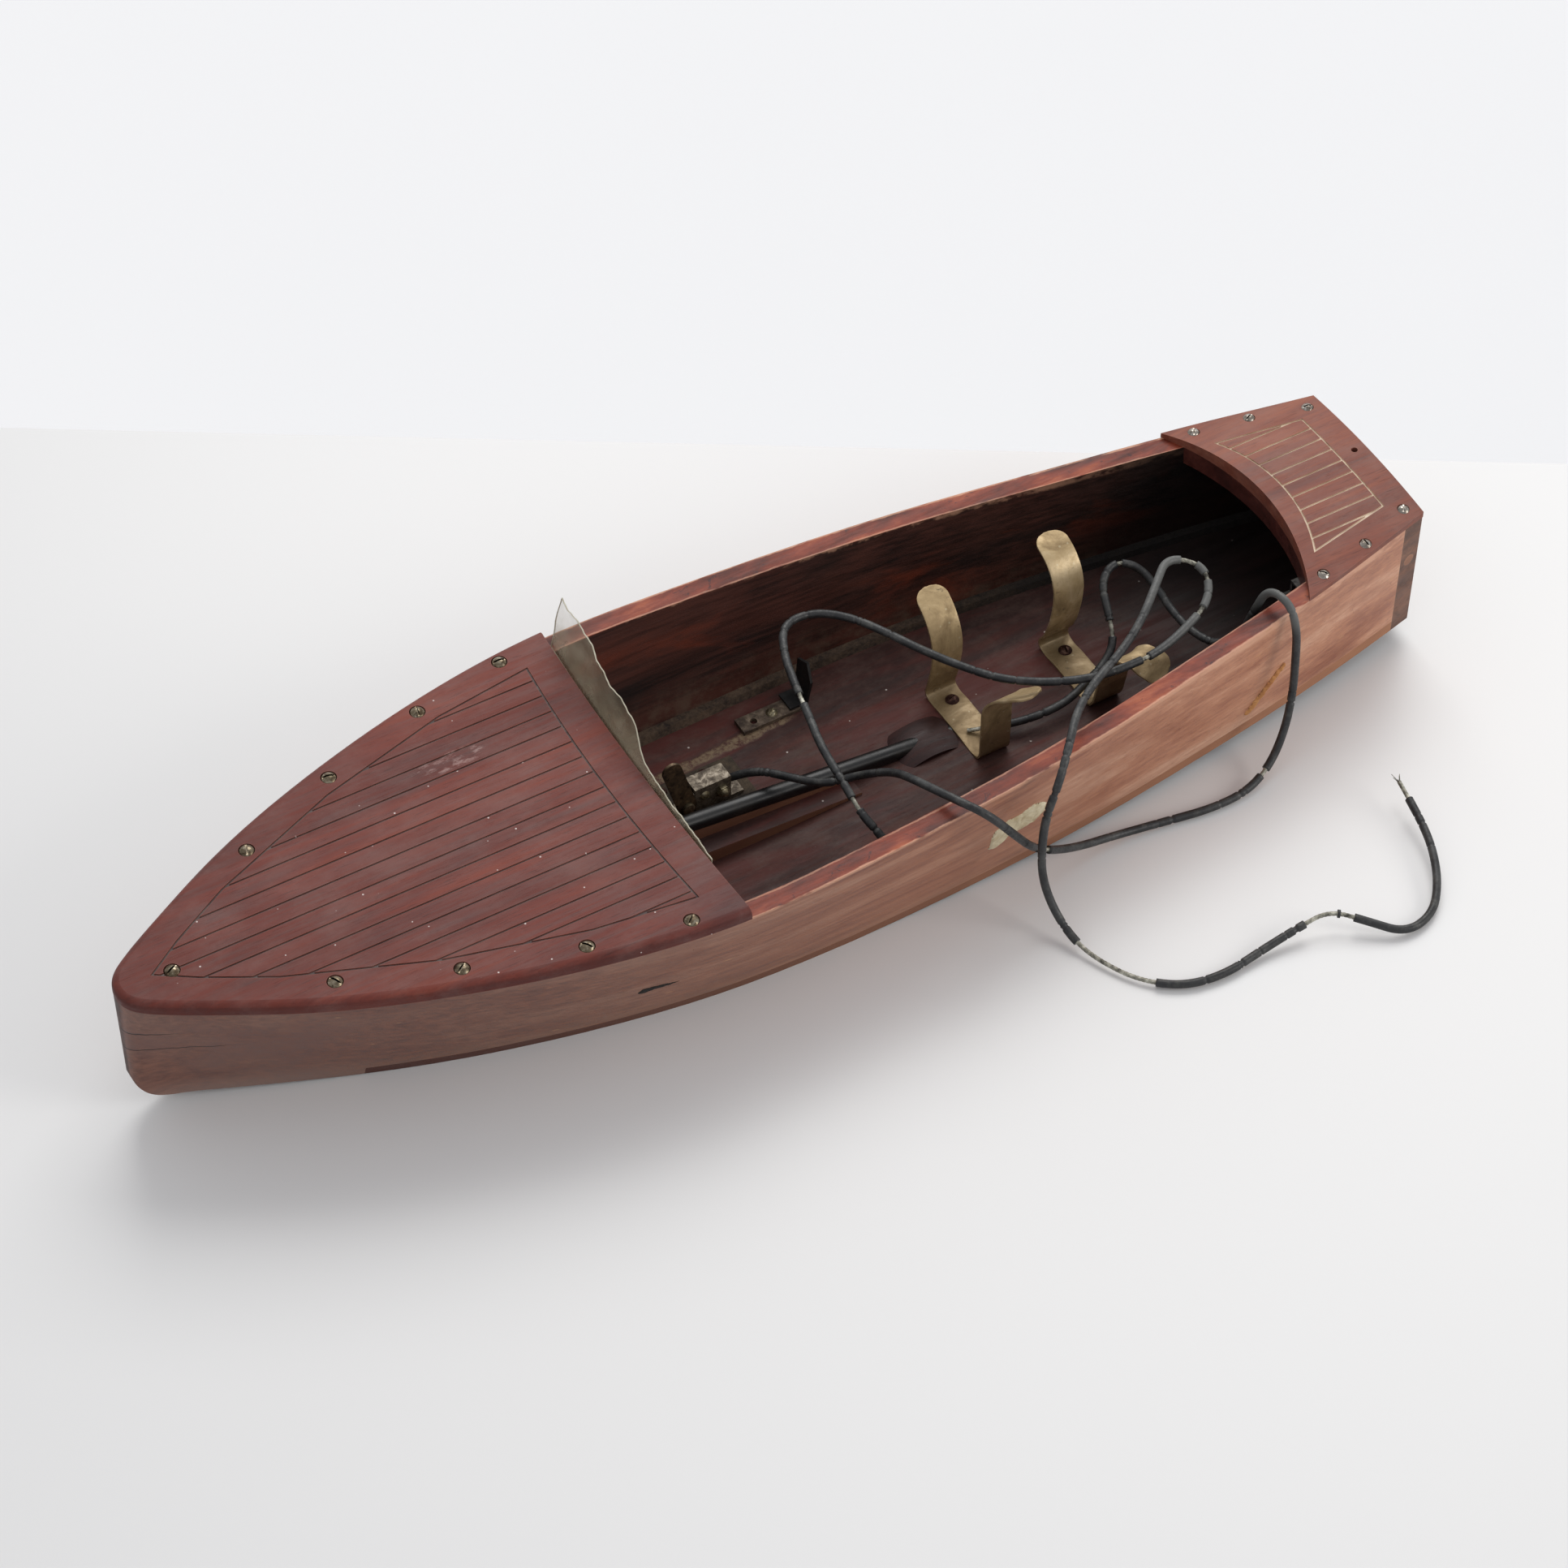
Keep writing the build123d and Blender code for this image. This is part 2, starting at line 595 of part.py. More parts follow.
# folded metal saddle on the base with an ear, carrying the terminals
SADDLE = 1.2
SADDLE_X = 17.4
SADDLE_Y = -13.9
SADDLE_W = 7.0
SADDLE_PORT = SADDLE_Y + SADDLE_W / 2
PIVOT_X = 27.9
PIVOT_Z = BASE_TOP + 5.6
EAR_Y = -11.0
EAR_W = 6.4
EAR_FACE = EAR_Y + SADDLE / 2
PIN_R = 1.1
saddle = Pos(SADDLE_X, SADDLE_Y, BASE_TOP + 5.5) * Box(14, SADDLE_W, 11)
hollow_at = Pos(SADDLE_X + SADDLE, SADDLE_Y, BASE_TOP + 5.5 - SADDLE)
saddle = saddle - hollow_at * Box(14, SADDLE_W - 2 * SADDLE, 11)
saddle = saddle + Pos(SADDLE_X - 9, SADDLE_Y, BASE_TOP + SADDLE / 2) * Box(6, SADDLE_W, SADDLE)
ear = Pos(PIVOT_X, EAR_Y, BASE_TOP + 4.7) * Box(EAR_W, SADDLE, 9.4)
ear = ear + Pos(PIVOT_X, EAR_FACE - 3, BASE_TOP + SADDLE / 2) * Box(EAR_W, 6, SADDLE)
ear = ear - Pos(PIVOT_X, EAR_Y, PIVOT_Z) * Rot(90, 0, 0) * Cylinder(PIN_R, 8)
SIDE_SCREW = (SADDLE_X + 3.2, SADDLE_PORT, BASE_TOP + 6.6)
SIDE_NUT = (SADDLE_X - 3.4, SADDLE_PORT, BASE_TOP + 6.4)
for spot in (SIDE_SCREW, SIDE_NUT):
    saddle = saddle - Pos(*spot) * Rot(90, 0, 0) * Cylinder(1.0, 6)
LUG = (SADDLE_X - 7, SADDLE_Y + 1.0, BASE_TOP + 6.5)
saddle = saddle - Pos(*LUG) * Rot(0, 90, 0) * Cylinder(1.0, 6)
with BuildPart() as switch_contacts:
    add(saddle)
    add(ear)
switch_contacts.part.label = "switch_contacts"
export_step(switch_contacts.part, "parts/switch_contacts.step")

# flat lever with rounded ends, turning on a pin through the ear
LEVER_W = 7.2
LEVER_T = 1.0
LEVER_UP = 21.7
LEVER_LEAN = 15            # it leans this far forward as it stands
LEVER_FACE = EAR_FACE + RUNNING + LEVER_T
half = LEVER_W / 2
lever_face = make_face(
    ThreePointArc((-half, 0), (0, -half), (half, 0))
    + Line((half, 0), (half, LEVER_UP))
    + ThreePointArc((half, LEVER_UP), (0, LEVER_UP + half), (-half, LEVER_UP))
    + Line((-half, LEVER_UP), (-half, 0))
)
lever = Rot(0, LEVER_LEAN, 0) * extrude(Plane.XZ * lever_face, amount=LEVER_T)
lever = Pos(PIVOT_X, LEVER_FACE, PIVOT_Z) * lever
lever = lever - Pos(PIVOT_X, LEVER_FACE, PIVOT_Z) * Rot(90, 0, 0) * Cylinder(PIN_R + RUNNING, 4)
with BuildPart() as switch_lever:
    add(lever)
switch_lever.part.label = "switch_lever"
export_step(switch_lever.part, "parts/switch_lever.step")

pin_back = EAR_Y - 2.4
pin_front = LEVER_FACE + RUNNING
pin_middle = (pin_back + pin_front) / 2
pin = Pos(PIVOT_X, pin_middle, PIVOT_Z) * Rot(90, 0, 0) * Cylinder(PIN_R, pin_front - pin_back)
pin = pin + Pos(PIVOT_X, pin_front + 0.6, PIVOT_Z) * Rot(90, 0, 0) * Cylinder(2.2, 1.2)
with BuildPart() as switch_pivot:
    add(pin)
switch_pivot.part.label = "switch_pivot"
export_step(switch_pivot.part, "parts/switch_pivot.step")

# terminals: a slotted screw and a dome nut on the saddle's port side, and a screw for the lead
side_screw = dome_screw(*SIDE_SCREW, 2.0, 1.0, 2.4, 70, axis=(0, 1, 0))
nut = extrude(RegularPolygon(2.3, 6), amount=1.8)
nut = nut + Pos(0, 0, 1.8) * (Sphere(1.8) & Pos(0, 0, 2) * Box(6, 6, 4))
nut = nut + Pos(0, 0, -1) * Cylinder(1.0, 2)
nut = Pos(*SIDE_NUT) * Rot(-90, 0, 0) * nut
lead_screw = dome_screw(*LUG, 2.1, 1.0, 2.4, 30, axis=(-1, 0, 0))
with BuildPart() as switch_terminals:
    add([side_screw, nut, lead_screw])
switch_terminals.part.label = "switch_terminals"
export_step(switch_terminals.part, "parts/switch_terminals.step")

hold_a = dome_screw(BASE_X - 5, HOLD_Y, BASE_TOP, 2.3, 1.3, 2.9, 15)
hold_b = dome_screw(BASE_X + 12, HOLD_Y, BASE_TOP, 2.3, 1.3, 2.9, 80)
with BuildPart() as switch_screws:
    add([hold_a, hold_b])
switch_screws.part.label = "switch_screws"
export_step(switch_screws.part, "parts/switch_screws.step")

# =============================================================== left-over fittings on the floor
PLATE_X = -21.8
PLATE_Y = -38.2
PLATE_TOP = floor_z(PLATE_X - 13) + 1.0
plate = Pos(PLATE_X, PLATE_Y, PLATE_TOP - 1) * Box(26, 7, 2)
plate = plate - Pos(PLATE_X + 7.5, PLATE_Y + 0.4, PLATE_TOP) * Cylinder(1.3, 6)
plate = plate - Pos(PLATE_X, PLATE_Y, PLATE_TOP) * Cylinder(1.2, 6)
plate = plate & above_floor
with BuildPart() as floor_plate:
    add(plate)
floor_plate.part.label = "floor_plate"
export_step(floor_plate.part, "parts/floor_plate.step")

plate_screw = dome_screw(PLATE_X, PLATE_Y, PLATE_TOP, 2.2, 1.2, 1.2, 40)
with BuildPart() as floor_plate_screw:
    add(plate_screw)
floor_plate_screw.part.label = "floor_plate_screw"
export_step(floor_plate_screw.part, "parts/floor_plate_screw.step")

# blackened angle bracket standing on the plate's aft end
BRACKET_X = -31.3
BRACKET_Y = -39.6
foot = Pos(BRACKET_X, BRACKET_Y, PLATE_TOP + 0.5) * Box(7, 8, 1.0)
blade_face = make_face(Polyline((-4, 0), (4, 0), (5.2, 11), (1.5, 17.5), (-4.4, 15), close=True))
blade = extrude(Plane.YZ * blade_face, amount=0.5, both=True)
blade = Pos(BRACKET_X - 3.2, BRACKET_Y, PLATE_TOP) * Rot(0, -6, 0) * blade
angle_iron = (foot + blade) & Pos(0, 0, PLATE_TOP + 50) * Box(400, 400, 100)
with BuildPart() as floor_bracket:
    add(angle_iron)
floor_bracket.part.label = "floor_bracket"
export_step(floor_bracket.part, "parts/floor_bracket.step")

# small hanging strap under the port front corner of the aft deck
STRAP_Y = 33.3
strap = Pos(-193.5, STRAP_Y, BEAM_LOW - 0.5) * Box(6, 6, 1.0)
strap = strap + Pos(-193.5, STRAP_Y - 3.5, BEAM_LOW - 5.5) * Box(6, 1.0, 11)
strap = strap + Pos(-193.5, STRAP_Y - 5.5, BEAM_LOW - 10.5) * Box(6, 5, 1.0)
with BuildPart() as quarter_strap:
    add(strap)
quarter_strap.part.label = "quarter_strap"
export_step(quarter_strap.part, "parts/quarter_strap.step")

# glue strips in the corners between the floor and the side planks
STRIP = 3.0
strip_low = outline(0.0, nose=False, inset=PLANK + STRIP)
strip_high = Pos(0, 0, LOFT_TOP) * outline(LOFT_TOP, nose=False, inset=PLANK + STRIP)
with BuildPart() as hollow_inside_strips:
    add(strip_low)
    add(strip_high)
    loft(ruled=True)
strip_zone = make_face(
    Polyline(
        (STERN_X + TRANSOM + 6, floor_z(STERN_X + TRANSOM + 6)),
        (FLAT_AFT, FLOOR),
        (BLOCK_X - 30, floor_z(BLOCK_X - 30)),
        (BLOCK_X - 30, floor_z(BLOCK_X - 30) + STRIP),
        (FLAT_AFT, FLOOR + STRIP),
        (STERN_X + TRANSOM + 6, floor_z(STERN_X + TRANSOM + 6) + STRIP),
        close=True,
    )
)
strips = (hollow.part - hollow_inside_strips.part) & extrude(Plane.XZ * strip_zone, amount=90, both=True)
strips = strips & above_floor
with BuildPart() as floor_seams:
    add(strips)
floor_seams.part.label = "floor_seams"
export_step(floor_seams.part, "parts/floor_seams.step")

# =============================================================== battery clips
# each arm as breadth and height above the floor
FRONT_FAR = [(-27.2, 42.0), (-18.7, 37.0), (-13.5, 27.5), (-14.2, 16.0), (-17.7, 0.4)]
FRONT_NEAR = [(17.3, 0.4), (20.8, 15.0), (21.1, 27.0), (24.3, 35.5), (34.3, 39.0)]
REAR_FAR = [(-23.7, 47.0), (-13.7, 44.5), (-8.4, 34.0), (-10.2, 18.0), (-16.7, 0.4)]
REAR_NEAR = [(16.8, 0.4), (20.8, 14.0), (21.4, 26.0), (25.8, 33.5), (38.8, 37.0)]
CLIP_SCREW = 6.8          # from the foot of the far arm to the screw


def clip_strip(x, far, near):
    """Battery clip: a spring strip bent up at both ends; heights are above the floor."""
    base = floor_z(x)
    path = FilletPolyline(*[(y, base + z) for y, z in far + near], radius=3.0)
    band = trace(path, CLIP_T)
    body = extrude(Plane.YZ * band, amount=CLIP_W / 2, both=True)
    body = Pos(x, 0, 0) * body
    tips = [e for e in body.edges() if e.length < CLIP_T * 1.5 and e.center().Z > base + 30]
    body = fillet(tips, CLIP_W * 0.42)
    hole = Pos(x - 1, far[-1][0] + CLIP_SCREW, base) * Cylinder(1.4, 8)
    spare = Pos(x - 3, near[0][0] - 8.0, base) * Cylinder(1.2, 8)
    body = body - hole - spare
    # the strip beds down on the sloping floor
    return body & above_floor


front_clip = clip_strip(CLIP_FRONT_X, FRONT_FAR, FRONT_NEAR)
with BuildPart() as battery_clip_front:
    add(front_clip)
battery_clip_front.part.label = "battery_clip_front"
export_step(battery_clip_front.part, "parts/battery_clip_front.step")

rear_clip = clip_strip(CLIP_REAR_X, REAR_FAR, REAR_NEAR)
with BuildPart() as battery_clip_rear:
    add(rear_clip)
battery_clip_rear.part.label = "battery_clip_rear"
export_step(battery_clip_rear.part, "parts/battery_clip_rear.step")

clip_heads = []
for x, far, turn in ((CLIP_FRONT_X, FRONT_FAR, 20), (CLIP_REAR_X, REAR_FAR, 75)):
    clip_heads.append(dome_screw(x - 1, far[-1][0] + CLIP_SCREW, floor_z(x) + CLIP_T, 2.5, 1.4, 0.7, turn))
with BuildPart() as clip_screws:
    add(clip_heads)
clip_screws.part.label = "clip_screws"
export_step(clip_screws.part, "parts/clip_screws.step")

# =============================================================== loose leads
def lead(points):
    """Round lead along straight runs joined by tangent arcs."""
    radii = []
    for p, q, r in zip(points, points[1:], points[2:]):
        a = Vector(*q) - Vector(*p)
        b = Vector(*r) - Vector(*q)
        turn = radians(a.get_angle(b))
        radii.append(min(60.0, 0.45 * min(a.length, b.length) / tan(turn / 2)))
    path = FilletPolyline(*points, radius=radii)
    return sweep(Plane(origin=path @ 0, z_dir=path % 0) * Circle(LEAD_R), path=path)


# from the switch terminal over the port gunwale, along the table, back in and to the front clip
SWITCH_LEAD = [
    (8.8, -13.3, 19), (2.4, -8.4, 24.3), (-4.3, 4.2, 28.6), (-12, 15, 31), (-22.5, 21, 36),
    (-28.5, 32, 45), (-28, 48, 55.5), (-30.5, 62.5, 61), (-38, 76, 60.5), (-49, 76.5, 44),
    (-58, 73, 29.5), (-69, 69.5, 18), (-82, 66.5, 9.5), (-98, 64.5, 4), (-117, 66.5, 2.2),
    (-134, 69.5, 2), (-149, 69.5, 2.3), (-161, 65.5, 5), (-170, 60.5, 13.5), (-175, 56.5, 27),
    (-176.5, 54, 41), (-176.5, 53, 54), (-175.5, 48.5, 65), (-173, 35.5, 64.5), (-168.3, 32.2, 51.5),
    (-164.7, 30.3, 40), (-161.8, 25.8, 30.9), (-160.8, 15.8, 26.9), (-159.8, 3.8, 27.4),
    (-159.3, -5.2, 31.4), (-156.3, -13.7, 36.9), (-148.3, -17.7, 39.4), (-140.8, -13.7, 36.4),
    (-138.3, -4.2, 30.4), (-135.8, 3.8, 24.4), (-128.8, 8.3, 21.4), (-119.3, 11.8, 20.4),
    (-108.3, 15.3, 18.9), (-94.8, 13.8, 16.9), (-83.3, 9.8, 15.7), (-75.3, 4.8, 13.3),
]
# from the port side over the switch lead's loop, out over the port gunwale to the table
BATTERY_LEAD = [
    (-17.5, 54, 28.5), (-14.5, 47, 35.2), (-11.5, 38.5, 40), (-12, 26.5, 43.4), (-12.5, 11, 46),
    (-15.7, -3, 47.3), (-18.5, -17, 48), (-22, -30, 48.5), (-28.5, -42.5, 48.5), (-41, -42.8, 48),
    (-51, -35, 47.2),
    (-58, -24, 46.5), (-63.8, -9.6, 47.5), (-70.6, 6.8, 50.2), (-77.8, 21.7, 53.5),
    (-90.3, 31.7, 54.7), (-103.1, 37, 54.8), (-115.9, 39.4, 55.7), (-128.9, 38.9, 55.5),
    (-142.2, 34.9, 55.8), (-156.6, 29.1, 57.8), (-162.5, 17, 61), (-151.5, 9, 64), (-140.5, 19, 64.8),
    (-127.7, 30, 64.1), (-113.6, 38.3, 62.5), (-99.6, 44.6, 62.8), (-85.5, 55, 65), (-75.5, 66, 64.5),
    (-66.5, 74.5, 59), (-60.5, 76.5, 47), (-58.5, 78, 34), (-58, 80, 21), (-59.5, 85.5, 9.5),
    (-61, 96, 3.5), (-64, 107, 2.2), (-71, 121, 2), (-83, 131, 2), (-98, 133.5, 2), (-113, 131.5, 2.6),
    (-128, 131, 5), (-140.5, 131.5, 7.5), (-150, 140, 5), (-160, 149.5, 2.3), (-173, 147, 2),
    (-182, 137, 3.5), (-188.5, 124, 5), (-192, 110, 6.5), (-194, 96, 8),
]

switch_wire = lead(SWITCH_LEAD)
battery_wire = lead(BATTERY_LEAD)
with BuildPart() as switch_lead:
    add(switch_wire)
switch_lead.part.label = "switch_lead"
export_step(switch_lead.part, "parts/switch_lead.step")

with BuildPart() as battery_lead:
    add(battery_wire)
battery_lead.part.label = "battery_lead"
export_step(battery_lead.part, "parts/battery_lead.step")

# round-head tack that holds the battery lead's inner end to the port plank
tack = dome_screw(*TACK.origin, 2.3, TACK_SHANK_R, 3.0, 10, axis=TACK.z_dir)
with BuildPart() as lead_tack:
    add(tack)
lead_tack.part.label = "lead_tack"
export_step(lead_tack.part, "parts/lead_tack.step")
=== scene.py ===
"""Looks of the vintage model motorboat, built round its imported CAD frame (metres, +X bow, +Y port, +Z up)."""
import math
import random

import bpy
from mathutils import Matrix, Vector, noise
from mathutils.bvhtree import BVHTree


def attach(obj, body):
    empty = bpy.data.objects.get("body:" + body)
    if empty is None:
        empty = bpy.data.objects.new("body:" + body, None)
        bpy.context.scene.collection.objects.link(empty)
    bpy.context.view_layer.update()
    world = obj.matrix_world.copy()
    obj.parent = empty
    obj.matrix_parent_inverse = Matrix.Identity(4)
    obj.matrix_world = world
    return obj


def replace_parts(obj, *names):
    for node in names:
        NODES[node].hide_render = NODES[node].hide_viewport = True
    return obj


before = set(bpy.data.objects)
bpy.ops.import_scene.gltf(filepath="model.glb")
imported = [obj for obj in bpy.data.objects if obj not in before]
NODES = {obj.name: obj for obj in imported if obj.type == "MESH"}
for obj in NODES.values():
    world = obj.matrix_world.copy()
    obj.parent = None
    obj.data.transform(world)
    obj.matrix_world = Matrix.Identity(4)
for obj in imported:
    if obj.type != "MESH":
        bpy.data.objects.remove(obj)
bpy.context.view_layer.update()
MM = 0.001
HALF_LONG = 0.242         # half the hull's length

# ---------------------------------------------------------------- camera
CAMERA_AT = Vector((0.55165, 0.95256, 1.26186))
CAMERA_TO = Vector((0.00763, 0.02077, 0.0480))
cam_data = bpy.data.cameras.new("camera")
cam_data.sensor_width = 36.0
cam_data.lens = 111.75
cam_data.clip_start = 0.05
cam_data.clip_end = 20.0
camera = bpy.data.objects.new("camera", cam_data)
camera.location = CAMERA_AT
camera.rotation_mode = "QUATERNION"
camera.rotation_quaternion = (CAMERA_TO - CAMERA_AT).to_track_quat("-Z", "Y")
bpy.context.scene.collection.objects.link(camera)
bpy.context.scene.camera = camera


# ---------------------------------------------------------------- material helpers
def lin(r, g, b):
    """Display colour 0-255 to a linear RGBA."""
    def one(v):
        v /= 255.0
        return v / 12.92 if v <= 0.04045 else ((v + 0.055) / 1.055) ** 2.4
    return (one(r), one(g), one(b), 1.0)


# colour of the painted shade that darkens the inside of the hull to near black aft
SHADE = lin(9, 7, 6)
SHADE_FROM, SHADE_TO = -0.12, -0.185      # the stations between which the painted shade inside the hull deepens aft


class Graph:
    """One procedural material; every method adds a node and returns its output."""

    def __init__(self, name):
        self.mat = bpy.data.materials.new(name)
        self.mat.use_nodes = True
        self.tree = self.mat.node_tree
        self.shader = self.tree.nodes["Principled BSDF"]
        coord = self.tree.nodes.new("ShaderNodeTexCoord")
        self.place = coord.outputs["Object"]
        self.normal = coord.outputs["Normal"]

    def put(self, socket, value):
        if isinstance(value, bpy.types.NodeSocket):
            self.tree.links.new(value, socket)
        else:
            socket.default_value = value

    def stretch(self, x, y, z, shift=(0, 0, 0)):
        n = self.tree.nodes.new("ShaderNodeMapping")
        n.vector_type = "POINT"
        self.put(n.inputs["Vector"], self.place)
        n.inputs["Location"].default_value = shift
        n.inputs["Scale"].default_value = (x, y, z)
        return n.outputs["Vector"]

    def noise(self, vector, scale=1.0, detail=4.0, rough=0.55, bend=0.0):
        n = self.tree.nodes.new("ShaderNodeTexNoise")
        self.put(n.inputs["Vector"], vector)
        n.inputs["Scale"].default_value = scale
        n.inputs["Detail"].default_value = detail
        n.inputs["Roughness"].default_value = rough
        n.inputs["Distortion"].default_value = bend
        return n.outputs["Fac"]

    def cells(self, vector, scale, out="Distance"):
        n = self.tree.nodes.new("ShaderNodeTexVoronoi")
        self.put(n.inputs["Vector"], vector)
        n.inputs["Scale"].default_value = scale
        return n.outputs[out]

    def ramp(self, value, stops, ease="LINEAR"):
        n = self.tree.nodes.new("ShaderNodeValToRGB")
        n.color_ramp.interpolation = ease
        self.put(n.inputs["Fac"], value)
        for k, (at, colour) in enumerate(stops):
            e = n.color_ramp.elements[k] if k < 2 else n.color_ramp.elements.new(at)
            e.position = at
            e.color = colour
        return n.outputs["Color"]

    def math(self, kind, a, b=0.0, clamp=False):
        n = self.tree.nodes.new("ShaderNodeMath")
        n.operation = kind
        n.use_clamp = clamp
        self.put(n.inputs[0], a)
        self.put(n.inputs[1], b)
        return n.outputs[0]

    def times(self, a, b, clamp=False):
        return self.math("MULTIPLY", a, b, clamp)

    def plus(self, a, b, clamp=False):
        return self.math("ADD", a, b, clamp)

    def minus(self, a, b, clamp=False):
        return self.math("SUBTRACT", a, b, clamp)

    def span(self, value, a, b, c=0.0, d=1.0, smooth=True):
        n = self.tree.nodes.new("ShaderNodeMapRange")
        n.interpolation_type = "SMOOTHSTEP" if smooth else "LINEAR"
        n.clamp = True
        for k, v in enumerate((value, a, b, c, d)):
            self.put(n.inputs[k], v)
        return n.outputs[0]

    def mix(self, share, a, b, how="MIX"):
        n = self.tree.nodes.new("ShaderNodeMix")
        n.data_type = "RGBA"
        n.blend_type = how
        self.put(n.inputs[0], share)
        self.put(n.inputs[6], a)
        self.put(n.inputs[7], b)
        return n.outputs[2]

    def tint(self, share, colour):
        """Lay a colour over the base colour."""
        self.base = self.mix(share, self.base, colour)

    def even_noise(self, scale, detail=4.0, rough=0.55, bend=0.0, shift=(0, 0, 0)):
        """Noise of the same grain along every axis."""
        return self.noise(self.stretch(scale, scale, scale, shift), 1.0, detail, rough, bend)

    def split(self, vector):
        n = self.tree.nodes.new("ShaderNodeSeparateXYZ")
        self.put(n.inputs[0], vector)
        return n.outputs[0], n.outputs[1], n.outputs[2]

    def curve(self, value, low, high, points):
        """A curve through given points: value runs from low to high and points are (share, result)."""
        n = self.tree.nodes.new("ShaderNodeFloatCurve")
        self.put(n.inputs["Value"], self.span(value, low, high, smooth=False))
        c = n.mapping.curves[0]
        for k, (a, b) in enumerate(points):
            if k < 2:
                c.points[k].location = (a, b)
            else:
                c.points.new(a, b)
        n.mapping.update()
        return n.outputs[0]

    def bump(self, height, strength, distance, under=None):
        n = self.tree.nodes.new("ShaderNodeBump")
        n.inputs["Strength"].default_value = strength
        n.inputs["Distance"].default_value = distance
        self.put(n.inputs["Height"], height)
        if under is not None:
            self.put(n.inputs["Normal"], under)
        return n.outputs["Normal"]

    def worn_edge(self, radius):
        """1 near sharp outer edges, 0 elsewhere."""
        n = self.tree.nodes.new("ShaderNodeBevel")
        n.samples = 6
        n.inputs["Radius"].default_value = radius
        geo = self.tree.nodes.new("ShaderNodeNewGeometry")
        d = self.tree.nodes.new("ShaderNodeVectorMath")
        d.operation = "DOT_PRODUCT"
        self.put(d.inputs[0], n.outputs["Normal"])
        self.put(d.inputs[1], geo.outputs["Normal"])
        return self.span(d.outputs["Value"], 0.97, 0.80)

    def hollow(self, reach):
        """1 down in slots and corners, 0 in the open; the mask for painted shade there."""
        n = self.tree.nodes.new("ShaderNodeAmbientOcclusion")
        n.samples = 6
        n.only_local = True
        n.inputs["Distance"].default_value = reach
        return self.span(n.outputs["AO"], 0.72, 0.42)

    def set(self, **sockets):
        names = {"color": "Base Color", "rough": "Roughness", "metal": "Metallic", "normal": "Normal",
                 "coat": "Coat Weight", "coat_rough": "Coat Roughness", "spec": "Specular IOR Level",
                 "alpha": "Alpha", "through": "Transmission Weight", "ior": "IOR", "sheen": "Sheen Weight"}
        for key, value in sockets.items():
            self.put(self.shader.inputs[names[key]], value)
        return self.mat


def wood(name, dark, mid, light, fine=1.0, rough=(0.38, 0.6), coat=0.15, extra=None, shift=(0, 0, 0)):
    """Straight-grained mahogany: broad bands, streaks and short dark pores along X."""
    g = Graph(name)
    broad = g.noise(g.stretch(7, 55, 55, shift), 1.0, 5, 0.6, 0.6)
    streak = g.noise(g.stretch(22, 420 * fine, 420 * fine, shift), 1.0, 4, 0.65, 0.3)
    pores = g.noise(g.stretch(150, 2300 * fine, 2300 * fine, shift), 1.0, 2, 0.5, 0.0)
    tone = g.plus(g.times(broad, 0.62), g.times(streak, 0.38))
    base = g.ramp(tone, [(0.34, dark), (0.52, mid), (0.70, light)])
    pore = g.span(pores, 0.60, 0.72)
    base = g.mix(g.times(pore, 0.45), base, tuple(c * 0.35 for c in dark[:3]) + (1,))
    height = g.minus(g.times(streak, 0.35), g.times(pore, 0.6))
    g.normal_out = g.bump(height, 0.35, 0.00015)
    g.base, g.tone, g.streak, g.pore = base, tone, streak, pore
    g.rough = g.span(streak, 0.3, 0.7, rough[0], rough[1])
    if extra:
        extra(g)
    return g.set(color=g.base, rough=g.rough, normal=g.normal_out, coat=coat, coat_rough=0.22, spec=0.32)


def paint(names, material):
    for n in names.split():
        obj = NODES[n]
        obj.data.materials.clear()
        obj.data.materials.append(material)


# ---------------------------------------------------------------- geometry helpers
def new_mesh(name, verts, faces, material, body="hull", smooth=True):
    mesh = bpy.data.meshes.new(name)
    mesh.from_pydata([tuple(v) for v in verts], [], faces)
    mesh.validate()
    mesh.update()
    if smooth:
        mesh.polygons.foreach_set("use_smooth", [True] * len(mesh.polygons))
    obj = bpy.data.objects.new(name, mesh)
    bpy.context.scene.collection.objects.link(obj)
    for m in material if isinstance(material, (list, tuple)) else [material]:
        mesh.materials.append(m)
    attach(obj, body)
    return obj


